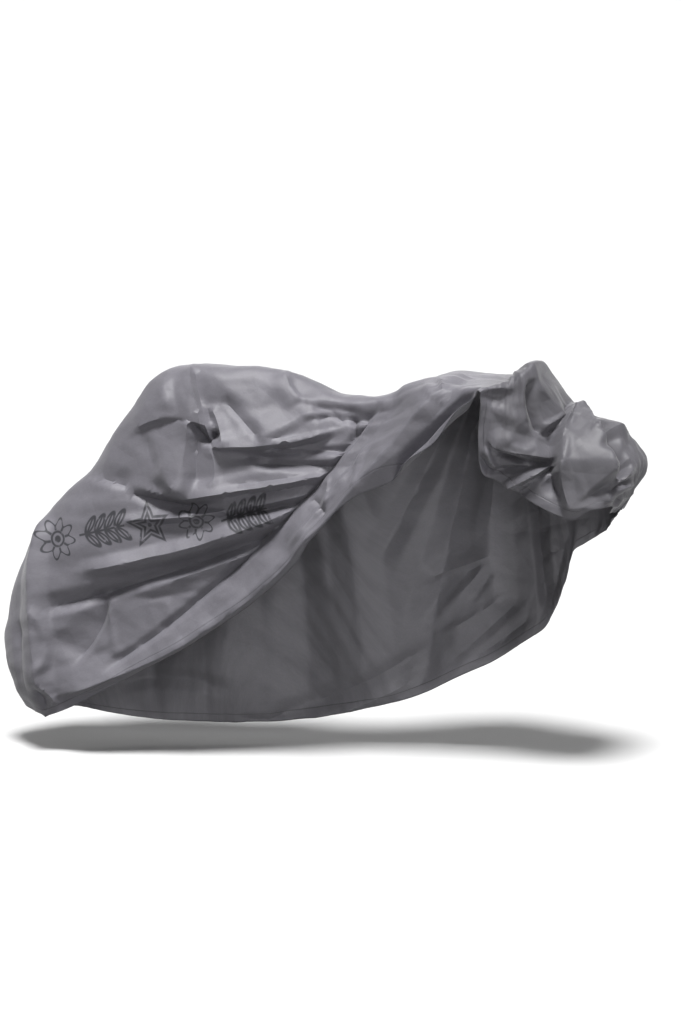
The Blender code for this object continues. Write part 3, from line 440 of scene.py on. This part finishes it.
def spline(knots, points, at):
    """A smooth curve through `points` at the values `knots`, read at the values `at`."""
    points = np.asarray(points, float)
    slopes = np.gradient(points, knots, axis=0)
    index = np.clip(np.searchsorted(knots, at, side="right") - 1, 0, len(knots) - 2)
    span = (knots[index + 1] - knots[index])[:, None]
    t = (at - knots[index])[:, None] / span
    return (
        (2 * t**3 - 3 * t**2 + 1) * points[index]
        + (t**3 - 2 * t**2 + t) * span * slopes[index]
        + (3 * t**2 - 2 * t**3) * points[index + 1]
        + (t**3 - t**2) * span * slopes[index + 1]
    )


def distances(points):
    """Distance along a chain of points, from 0 at its start."""
    steps = np.linalg.norm(np.diff(points, axis=0), axis=1)
    return np.concatenate([[0.0], np.cumsum(steps)])


def cut(points, shares):
    """The same chain, read at the given shares of its length."""
    along = distances(points)
    at = along[-1] * shares
    return np.stack([np.interp(at, along, points[:, axis]) for axis in range(3)], axis=1)


def key_points(section):
    """Near hem, near wall, near shoulder, ridge, far shoulder, far wall and far hem."""
    ridge = np.array(section.ridge)
    sides = []
    for hem, bulge, shoulder_y, drop in (
        (section.near_hem, section.near_bulge, section.near_shoulder, section.near_drop),
        (section.far_hem, section.far_bulge, section.far_shoulder, section.far_drop),
    ):
        hem = np.array(hem)
        inward = hem - ridge
        inward[1] = 0.0
        shoulder = ridge + unit(inward) * drop
        shoulder[1] = shoulder_y
        wall = (hem + shoulder) / 2
        wall[1] += bulge * np.sign(shoulder_y)
        sides.append((hem, wall, shoulder))
    near, far = sides
    return np.array([near[0], near[1], near[2], ridge, far[2], far[1], far[0]])


def smooth_surface():
    """The sheet without folds, as a grid of points by place along it and across it."""
    keys = np.array([key_points(section) for section in SECTIONS])
    spacing = np.linalg.norm(np.diff(keys[:, (0, 3, 6)], axis=0), axis=2).mean(axis=1)
    knots = np.concatenate([[0.0], np.cumsum(spacing)])
    bunched = [section.ridge[0] > BUNCH_FROM for section in SECTIONS[1:]]
    marks = np.concatenate([[0.0], np.cumsum(spacing * np.where(bunched, BUNCH_SHARE, 1.0))])
    at = np.interp(np.linspace(0.0, marks[-1], CELLS_ALONG + 1), marks, knots)
    dense = spline(knots, keys.reshape(len(keys), -1), at).reshape(len(at), -1, 3)
    near_shares = np.linspace(0.0, 1.0, CELLS_NEAR + 1) ** HEM_CROWDING
    far_shares = 1.0 - np.linspace(1.0, 0.0, CELLS_FAR + 1) ** HEM_CROWDING
    surface = []
    for row in dense:
        steps = np.sqrt(np.linalg.norm(np.diff(row, axis=0), axis=1))
        marks = np.concatenate([[0.0], np.cumsum(steps)])
        near = spline(marks, row, np.linspace(marks[0], marks[3], SECTION_SAMPLES))
        far = spline(marks, row, np.linspace(marks[3], marks[-1], SECTION_SAMPLES))
        surface.append(np.concatenate([cut(near, near_shares), cut(far, far_shares)[1:]]))
    return np.array(surface)


def outward(surface):
    """Unit normals that point out of the hollow."""
    along = np.gradient(surface, axis=0)
    across = np.gradient(surface, axis=1)
    return unit(np.cross(along, across))


def wavering(flat):
    """(x, height) shifted a little in slow waves, so that no fold is a perfect arc."""
    shifted = flat.copy()
    for axis, share, with_x, with_height, start in WAVES:
        wave = np.sin(with_x * flat[..., 0] + with_height * flat[..., 1] + start)
        shifted[..., axis] += WAVER * share * wave
    return shifted


def fold_moves(flat, fold):
    """How strongly a fold acts at each (x, height), the way to its upper side, and how far each point
    lies that way from its crest."""
    start, middle, end = (np.array(point) for point in (fold.start, fold.middle, fold.end))
    length = np.linalg.norm(end - start)
    run = (end - start) / length
    upward = np.array([-run[1], run[0]])
    bow = (middle - (start + end) / 2) @ upward
    place = (flat - start) @ run / length
    inside = np.clip(place, 0.0, 1.0)
    slope = 4 * bow * (1 - 2 * inside) / length
    offset = ((flat - start) @ upward - 4 * bow * inside * (1 - inside)) / np.sqrt(1 + slope**2)
    reach = np.where(offset >= 0, fold.upper, fold.lower) * (1.0 + fold.fan * (2 * inside - 1))
    full = np.where(offset >= 0, fold.upper_full, fold.lower_full)
    gap = (np.sqrt(offset**2 + CREST**2) - CREST) / reach
    roof = 1.0 - gap**full
    ends = smooth_step(place / fold.fade) * smooth_step((1 - place) / fold.fade)
    return (roof + np.sqrt(roof**2 + FOOT**2)) / 2 * ends, upward, offset


def side_fades(columns, flat):
    """How much of a fold is left at each point, by its side: over the ridge and under the roll."""
    across = np.interp(columns, (0, CELLS_NEAR, CELLS_NEAR + CELLS_FAR), (-1.0, 0.0, 1.0))
    near_side = smooth_step((PAST_RIDGE - across) / (PAST_RIDGE + BEFORE_RIDGE))
    far_side = smooth_step((PAST_RIDGE + across) / (PAST_RIDGE + BEFORE_RIDGE))
    above_roll = smooth_step(fold_moves(flat, ROLL_EDGE)[2] / ROLL_STEP)
    return {"near": near_side, "far": far_side, "under": near_side * above_roll}


def read_grid(grid, rows, columns):
    """A grid of values read between its points."""
    row = np.clip(rows.astype(int), 0, grid.shape[0] - 2)
    column = np.clip(columns.astype(int), 0, grid.shape[1] - 2)
    down, right = (rows - row)[..., None], (columns - column)[..., None]
    upper = grid[row, column] * (1 - right) + grid[row, column + 1] * right
    lower = grid[row + 1, column] * (1 - right) + grid[row + 1, column + 1] * right
    return upper * (1 - down) + lower * down


def crest_places(surface):
    """Each point's row and column, moved onto a fold's crest where one passes close by."""
    rows, columns = np.indices(surface.shape[:2]).astype(float)
    flat = wavering(surface[..., (0, 2)])
    fades = side_fades(columns, flat)
    free = np.ones(surface.shape[:2], bool)
    free[[0, -1], :] = False
    free[:, [0, CELLS_NEAR, -1]] = False
    for fold in [ROLL_EDGE] + sorted(FOLDS, key=lambda fold: -abs(fold.rise)):
        strength, upward, offset = fold_moves(flat, fold)
        by_row, by_column = np.gradient(offset)
        down = np.abs(by_row) >= np.abs(by_column)
        steepness = np.where(down, by_row, by_column)
        close = np.abs(offset) < SNAP * np.abs(steepness)
        close &= free & (strength * fades[fold.side] > SNAP_FROM)
        rows[close & down] -= (offset / steepness)[close & down]
        columns[close & ~down] -= (offset / steepness)[close & ~down]
        free[close] = False
    return rows, columns


def folded(surface, normal, rows, columns):
    """The surface at those places, with every fold of the table pressed into it."""
    normal = unit(read_grid(normal, rows, columns))
    moved = read_grid(surface, rows, columns)
    flat = wavering(moved[..., (0, 2)])
    fades = side_fades(columns, flat)
    for fold in FOLDS:
        strength, upward, _ = fold_moves(flat, fold)
        strength = strength * fades[fold.side]
        moved += normal * (strength * fold.rise)[..., None]
        moved[..., (0, 2)] -= upward * (strength * fold.lean)[..., None]
    return moved


def rising_squares(surface, normal, rows, columns, points):
    """Where a square's split from its first to its third corner lies closer to the folds."""
    misses = []
    for one, other in (
        (np.s_[:-1, :-1], np.s_[1:, 1:]),
        (np.s_[1:, :-1], np.s_[:-1, 1:]),
    ):
        row, column = (rows[one] + rows[other]) / 2, (columns[one] + columns[other]) / 2
        middle = folded(surface, normal, row, column)
        misses.append(np.linalg.norm(middle - (points[one] + points[other]) / 2, axis=2))
    return misses[0] < misses[1]


def lengths(surface):
    """Metres along the sheet, metres across it and metres from the nearest hem, for each point."""
    rows, columns = surface.shape[:2]
    along_steps = np.linalg.norm(np.diff(surface, axis=0), axis=2)
    across_steps = np.linalg.norm(np.diff(surface, axis=1), axis=2)
    along = np.concatenate([np.zeros((1, columns)), np.cumsum(along_steps, axis=0)])
    across = np.concatenate([np.zeros((rows, 1)), np.cumsum(across_steps, axis=1)], axis=1)
    to_ends = np.minimum(along, along[-1] - along)
    to_sides = np.minimum(across, across[:, -1:] - across)
    return np.stack([along, across, np.minimum(to_ends, to_sides)], axis=-1)


def facets(along, across, cell, chance):
    """Flat facets about as wide as a cell, as crumpling leaves them: from 0 to about 1 at an edge."""
    turns, shifts = chance.random((CRUMPLE_CELLS,) * 2), chance.random((CRUMPLE_CELLS,) * 2 + (2,))
    place = np.stack([along, across], axis=-1) / cell
    corner = np.floor(place).astype(int)
    nearest = np.full(along.shape, np.inf)
    for step in np.ndindex(3, 3):
        index = corner + np.array(step) - 1
        which = tuple(np.moveaxis(index % CRUMPLE_CELLS, -1, 0))
        away = place - index - shifts[which]
        turn = math.pi * turns[which]
        one = np.abs(away[..., 0] * np.cos(turn) + away[..., 1] * np.sin(turn))
        other = np.abs(away[..., 1] * np.cos(turn) - away[..., 0] * np.sin(turn))
        nearest = np.minimum(nearest, one + other)
    return nearest


def crumples(along, across, surface):
    """How far the crumples move each point of the sheet outwards or, below 0, inwards."""
    chance = np.random.default_rng(CRUMPLE_SEED)
    total = np.zeros(along.shape)
    for crumple in CRUMPLES:
        centre = np.array(crumple.centre)
        away = np.linalg.norm((surface - centre) / np.array(crumple.reach), axis=-1)
        share = 1.0 - smooth_step((away - CRUMPLE_FULL) / CRUMPLE_FADE)
        total += crumple.rise * share * (facets(along, across, crumple.cell, chance) - 0.5)
    return total


# ---- the mesh -------------------------------------------------------------------------------------

def grid_object(name, surface, rising):
    """An object over a grid of points, with each square split one way or the other."""
    rows, columns = surface.shape[:2]
    index = np.arange(rows * columns).reshape(rows, columns)
    first, second, third, fourth = index[:-1, :-1], index[1:, :-1], index[1:, 1:], index[:-1, 1:]
    faces = np.where(
        rising[..., None],
        np.stack([first, second, third, first, third, fourth], axis=-1),
        np.stack([first, second, fourth, second, third, fourth], axis=-1),
    )
    mesh = bpy.data.meshes.new(name)
    mesh.from_pydata(surface.reshape(-1, 3).tolist(), [], faces.reshape(-1, 3).tolist())
    mesh.update()
    return add_object(name, mesh)


def add_object(name, data):
    thing = bpy.data.objects.new(name, data)
    bpy.context.scene.collection.objects.link(thing)
    return thing


def add_uv(mesh, name, first, second):
    """A UV layer from two numbers for each point."""
    values = np.stack([first.ravel(), second.ravel()], axis=1)
    corners = np.empty(len(mesh.loops), dtype=np.int32)
    mesh.loops.foreach_get("vertex_index", corners)
    layer = mesh.uv_layers.new(name=name)
    layer.data.foreach_set("uv", values[corners].astype(np.float32).ravel())


# ---- materials ------------------------------------------------------------------------------------

class Nodes:
    """Short ways to add nodes to a material and to do sums with their sockets."""

    def __init__(self, name):
        self.material = bpy.data.materials.new(name)
        self.material.use_nodes = True
        self.tree = self.material.node_tree
        self.shader = self.tree.nodes["Principled BSDF"]

    def add(self, kind, settings=(), **inputs):
        node = self.tree.nodes.new(kind)
        for key, value in dict(settings).items():
            setattr(node, key, value)
        for key, value in inputs.items():
            self.join(value, node.inputs[key.replace("_", " ")])
        return node

    def join(self, value, socket):
        if isinstance(value, bpy.types.NodeSocket):
            self.tree.links.new(value, socket)
        else:
            socket.default_value = value

    def sum(self, operation, result, *others):
        """An operation on one value, or on the first value and each of the others in turn."""
        for other in others or (None,):
            node = self.tree.nodes.new("ShaderNodeMath")
            node.operation = operation
            self.join(result, node.inputs[0])
            if other is not None:
                self.join(other, node.inputs[1])
            result = node.outputs["Value"]
        return result

    def plus(self, *values):
        return self.sum("ADD", *values)

    def minus(self, *values):
        return self.sum("SUBTRACT", *values)

    def times(self, *values):
        return self.sum("MULTIPLY", *values)

    def most(self, *values):
        return self.sum("MAXIMUM", *values)

    def absolute(self, value):
        return self.sum("ABSOLUTE", value)

    def root(self, value):
        return self.sum("SQRT", value)

    def below(self, value, limit, soft):
        """1 where the value is below the limit and 0 above it, over a soft edge."""
        node = self.add("ShaderNodeMapRange", {"interpolation_type": "SMOOTHSTEP"}, Value=value)
        node.inputs["From Min"].default_value = limit - soft
        node.inputs["From Max"].default_value = limit + soft
        node.inputs["To Min"].default_value = 1.0
        node.inputs["To Max"].default_value = 0.0
        return node.outputs["Result"]

    def line(self, distance):
        """A drawn line where the distance is about 0."""
        return self.below(self.absolute(distance), PRINT_LINE / 2, PRINT_LINE / 4)

    def within(self, value, limit):
        """1 where the value is below the limit, with the edge of a drawn line."""
        return self.below(value, limit, PRINT_LINE / 4)

    def mix(self, share, first, second):
        """The first colour, with that share of the second."""
        node = self.tree.nodes.new("ShaderNodeMix")
        node.data_type = "RGBA"         # which uses the sockets 6 and 7, and gives its result in 2
        self.join(share, node.inputs[0])
        for socket, colour in ((node.inputs[6], first), (node.inputs[7], second)):
            self.join((*colour, 1.0) if isinstance(colour, tuple) else colour, socket)
        return node.outputs[2]

    def places(self, layer):
        """The two numbers of a UV layer, and both as one vector."""
        uv = self.add("ShaderNodeUVMap", {"uv_map": layer}).outputs["UV"]
        parts = self.add("ShaderNodeSeparateXYZ", Vector=uv)
        return parts.outputs["X"], parts.outputs["Y"], uv

    def noise(self, vector, noise):
        node = self.add("ShaderNodeTexNoise", Vector=vector, Scale=noise.scale, Detail=noise.detail)
        node.inputs["Roughness"].default_value = noise.roughness
        return node.outputs["Fac"]

    def facets(self, vector, size):
        """Height in metres over flat facets with a slope of 1, about as wide as `size`."""
        node = self.add(
            "ShaderNodeTexVoronoi",
            {"voronoi_dimensions": "2D", "feature": "DISTANCE_TO_EDGE"},
            Vector=vector,
            Scale=1.0 / size,
        )
        return self.times(node.outputs["Distance"], size)


def polar(nodes, u, v):
    """Distance and angle of a place (u, v)."""
    reach = nodes.root(nodes.plus(nodes.times(u, u), nodes.times(v, v)))
    return reach, nodes.sum("ARCTAN2", v, u)


def rosette(nodes, u, v, size):
    """A flower of eight petals round a ringed centre."""
    reach, angle = polar(nodes, u, v)
    wave = nodes.sum("COSINE", nodes.times(angle, 8.0))
    petals = nodes.plus(nodes.times(wave, 0.17 * size), 0.80 * size)
    middles = nodes.times(nodes.sum("COSINE", nodes.times(angle, 4.0)), reach, 0.25)
    veins = nodes.within(nodes.absolute(nodes.minus(reach, 0.55 * size)), 0.14 * size)
    return nodes.most(
        nodes.line(nodes.minus(reach, petals)),
        nodes.line(nodes.minus(reach, 0.34 * size)),
        nodes.within(reach, 0.17 * size),
        nodes.times(nodes.line(middles), veins),
    )


def star(nodes, u, v, size):
    """A star of five points, drawn with two outlines."""
    reach, angle = polar(nodes, u, v)
    half_point = math.pi / 5
    turned = nodes.sum("PINGPONG", nodes.minus(angle, math.pi / 2), half_point)
    tip = Vector((size, 0.0))
    notch = Vector((math.cos(half_point), math.sin(half_point))) * 0.45 * size
    edge = (notch - tip).normalized()
    across = nodes.plus(
        nodes.times(reach, nodes.sum("COSINE", turned), -edge.y),
        nodes.times(reach, nodes.sum("SINE", turned), edge.x),
    )
    outline = -tip.x * edge.y
    return nodes.most(
        nodes.line(nodes.minus(across, outline)),
        nodes.line(nodes.minus(across, 0.55 * outline)),
        nodes.within(reach, 0.10 * size),
    )


def sprig(nodes, u, v, size):
    """A stem with pairs of slanting leaves, each with its midrib."""
    pitch, slant, slim = 0.50 * size, 0.7, 2.6
    height = nodes.absolute(v)
    along = nodes.minus(u, nodes.times(height, slant))
    place = nodes.minus(nodes.sum("PINGPONG", along, pitch), pitch / 2)
    wide = nodes.times(place, slim / pitch)
    tall = nodes.times(nodes.minus(height, 0.36 * size), 1 / (0.32 * size))
    oval = nodes.root(nodes.plus(nodes.times(wide, wide), nodes.times(tall, tall)))
    leaf = nodes.line(nodes.times(nodes.minus(oval, 1.0), pitch / slim))
    rib = nodes.times(nodes.line(place), nodes.within(oval, 0.85))
    length = nodes.within(nodes.absolute(along), 1.02 * size)
    stem = nodes.times(nodes.line(v), nodes.within(nodes.absolute(u), 1.15 * size))
    return nodes.most(nodes.times(nodes.most(leaf, rib), length), stem)


DRAWINGS = {"rosette": rosette, "star": star, "sprig": sprig}


def print_band(nodes):
    """1 where the sheet is printed: a row of plain motifs, a little worn."""
    x, height, uv = nodes.places("print")
    drawn = []
    for motif in MOTIFS:
        u, v = nodes.minus(x, motif.x), nodes.minus(height, motif.height)
        cos, sin = math.cos(motif.turn), math.sin(motif.turn)
        along = nodes.plus(nodes.times(u, cos), nodes.times(v, sin))
        across = nodes.minus(nodes.times(v, cos), nodes.times(u, sin))
        drawn.append(DRAWINGS[motif.drawing](nodes, along, across, motif.size))
    near_side = nodes.add("ShaderNodeAttribute", {"attribute_name": "near_side"}).outputs["Fac"]
    wear = nodes.below(nodes.noise(uv, PRINT_WEAR), WORN_ABOVE, WORN_SOFT)
    return nodes.times(nodes.most(*drawn), near_side, wear)


def toned(colour, share):
    return tuple(channel * share for channel in colour)


def cloth_material(name, colour, roughness, printed):
    """Coated cloth: a fine weave, faint mottling, a welded hem line and, outside, a printed band."""
    nodes = Nodes(name)
    shader = nodes.shader
    along, across, uv = nodes.places("cloth")
    x, _, side_uv = nodes.places("print")
    from_hem = nodes.places("hem")[0]
    in_bunch = nodes.minus(1.0, nodes.below(x, BUNCH_FROM, BUNCH_EDGE))
    in_hem = nodes.below(from_hem, HEM_WIDTH, HEM_SOFT)
    weld = nodes.below(nodes.absolute(nodes.minus(from_hem, HEM_WIDTH)), WELD_HALF, HEM_SOFT)
    edge = nodes.below(from_hem, EDGE_WIDTH, EDGE_SOFT)

    mottles = [nodes.noise(uv, noise) for noise in MOTTLES]
    tone = nodes.plus(*(nodes.times(mottle, noise.amount) for mottle, noise in zip(mottles, MOTTLES)))
    cloth = nodes.mix(nodes.below(tone, TONE_MIDDLE, TONE_SOFT), toned(colour, LIGHT), toned(colour, DARK))
    # painted shade: the cloth's colour is darkened towards near-black where the sheet lies bunched
    cloth = nodes.mix(nodes.times(in_bunch, BUNCH_PAINTED_SHADE), cloth, PAINTED_SHADE_COLOUR)
    cloth = nodes.mix(nodes.times(in_hem, HEM_SHARE), cloth, toned(colour, HEM_TONE))
    cloth = nodes.mix(nodes.times(nodes.most(weld, edge), WELD_SHARE), cloth, WELD_COLOUR)
    if printed:
        cloth = nodes.mix(nodes.times(print_band(nodes), PRINT_STRENGTH), cloth, PRINT_COLOUR)
    nodes.join(cloth, shader.inputs["Base Color"])

    dusty = nodes.times(mottles[-1], DUST_ROUGHNESS)
    nodes.join(nodes.plus(dusty, roughness), shader.inputs["Roughness"])
    shader.inputs["Sheen Weight"].default_value = SHEEN
    shader.inputs["Sheen Roughness"].default_value = SHEEN_ROUGHNESS
    shader.inputs["Specular IOR Level"].default_value = GLOSS

    warp, weft = (nodes.sum("SINE", nodes.times(place, 2 * math.pi / WEAVE)) for place in (along, across))
    weave = nodes.times(warp, weft, WEAVE_RISE)
    crinkle = nodes.times(nodes.noise(uv, CRINKLE), CRINKLE.amount)
    wide = nodes.times(nodes.facets(side_uv, WIDE_FACET), WIDE_SLOPE)
    narrow = nodes.times(nodes.facets(side_uv, NARROW_FACET), NARROW_SLOPE)
    slope_share = nodes.plus(nodes.times(in_bunch, 1.0 - PLAIN_SHARE), PLAIN_SHARE)
    creased = nodes.times(nodes.plus(wide, narrow), slope_share)
    hemmed = nodes.plus(nodes.times(in_hem, HEM_RISE), nodes.times(weld, -WELD_DEPTH))
    height = nodes.plus(weave, crinkle, creased, hemmed)
    bump = nodes.add("ShaderNodeBump", Height=height, Strength=BUMP_STRENGTH, Distance=1.0)
    nodes.join(bump.outputs["Normal"], shader.inputs["Normal"])
    return nodes.material


# ---- the cover ------------------------------------------------------------------------------------

def build_cover():
    smooth = smooth_surface()
    normal = outward(smooth)
    rows, columns = crest_places(smooth)
    points = folded(smooth, normal, rows, columns)
    rising = rising_squares(smooth, normal, rows, columns, points)
    along, across, from_hem = np.moveaxis(read_grid(lengths(smooth), rows, columns), -1, 0)
    smooth = read_grid(smooth, rows, columns)
    points += unit(read_grid(normal, rows, columns)) * crumples(along, across, smooth)[..., None]
    points -= np.array([0.0, 0.0, HUMP_TOP])

    cover = grid_object("draped_cover", points, rising)
    mesh = cover.data
    add_uv(mesh, "cloth", along, across)
    add_uv(mesh, "print", smooth[..., 0], smooth[..., 2])
    add_uv(mesh, "hem", from_hem, along)
    is_near = np.zeros(smooth.shape[:2], np.float32)
    is_near[:, : CELLS_NEAR + 1] = 1.0
    mesh.attributes.new("near_side", "FLOAT", "POINT").data.foreach_set("value", is_near.ravel())
    mesh.materials.append(cloth_material("coated_cloth_outside", OUTSIDE, OUTSIDE_ROUGHNESS, True))
    mesh.materials.append(cloth_material("coated_cloth_inside", INSIDE, INSIDE_ROUGHNESS, False))
    mesh.shade_smooth()
    mesh.set_sharp_from_angle(angle=math.radians(CREASE_ANGLE))
    wall = cover.modifiers.new("sheet thickness", "SOLIDIFY")
    wall.thickness = SHEET
    wall.offset = 0.0
    wall.use_rim = True
    wall.material_offset = 1            # the inner face takes the second material
    return cover


# ---- the stage ------------------------------------------------------------------------------------

def build_floor():
    """A pale round floor that curves up into a wall far out, so that no horizon shows."""
    profile = [(FLOOR_MIDDLE, 0.0), (FLOOR_FLAT, 0.0)]
    for step in range(1, COVE_STEPS + 1):
        turn = math.pi / 2 * step / COVE_STEPS
        profile.append((FLOOR_FLAT + COVE * math.sin(turn), COVE * (1 - math.cos(turn))))
    turns = [2 * math.pi * side / FLOOR_SIDES for side in range(FLOOR_SIDES)]
    points = [
        (reach * math.cos(turn), reach * math.sin(turn), rise - HUMP_TOP)
        for reach, rise in profile
        for turn in turns
    ]
    faces = [list(range(FLOOR_SIDES))]
    for ring in range(len(profile) - 1):
        for side in range(FLOOR_SIDES):
            low, next_side = ring * FLOOR_SIDES, (side + 1) % FLOOR_SIDES
            high = low + FLOOR_SIDES
            faces.append((low + side, high + side, high + next_side, low + next_side))
    mesh = bpy.data.meshes.new("floor")
    mesh.from_pydata(points, [], faces)
    mesh.shade_smooth()
    floor = add_object("floor", mesh)
    nodes = Nodes("pale_floor")
    nodes.shader.inputs["Base Color"].default_value = (*FLOOR_COLOUR, 1.0)
    nodes.shader.inputs["Roughness"].default_value = FLOOR_ROUGHNESS
    mesh.materials.append(nodes.material)
    floor.visible_diffuse = False       # light from the floor would flatten the folds


def add_lights():
    for name, way, angle, strength in SUNS:
        data = bpy.data.lights.new(name, "SUN")
        data.angle = math.radians(angle)
        data.energy = strength
        add_object(name, data).rotation_euler = Vector(way).to_track_quat("Z", "Y").to_euler()
    data = bpy.data.lights.new("lamp", "AREA")
    data.size = LAMP_SIZE
    data.energy = LAMP_POWER
    lamp = add_object("lamp", data)
    lamp.location = LAMP_PLACE
    lamp.rotation_euler = (Vector(LAMP_PLACE) - Vector(LAMP_AIM)).to_track_quat("Z", "Y").to_euler()
    lamp.visible_camera = False
    world = bpy.data.worlds.new("soft_studio")
    world.use_nodes = True
    background = world.node_tree.nodes["Background"]
    background.inputs["Color"].default_value = (1.0, 1.0, 1.0, 1.0)
    background.inputs["Strength"].default_value = WORLD_STRENGTH
    bpy.context.scene.world = world
    bpy.context.scene.view_settings.view_transform = "Standard"


def add_camera():
    turn, rise = math.radians(CAMERA_TURN), math.radians(CAMERA_RISE)
    level = math.cos(rise)
    back = Vector((math.sin(turn) * level, -math.cos(turn) * level, math.sin(rise)))
    data = bpy.data.cameras.new("camera")
    data.sensor_fit = "AUTO"
    data.sensor_width = CAMERA_SENSOR
    data.lens = CAMERA_LENS
    camera = add_object("camera", data)
    camera.location = CAMERA_TARGET + back * CAMERA_DISTANCE
    camera.rotation_euler = back.to_track_quat("Z", "Y").to_euler()
    bpy.context.scene.camera = camera


add_camera()
add_lights()
build_floor()
cover = build_cover()
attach(cover, "root")
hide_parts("cover")
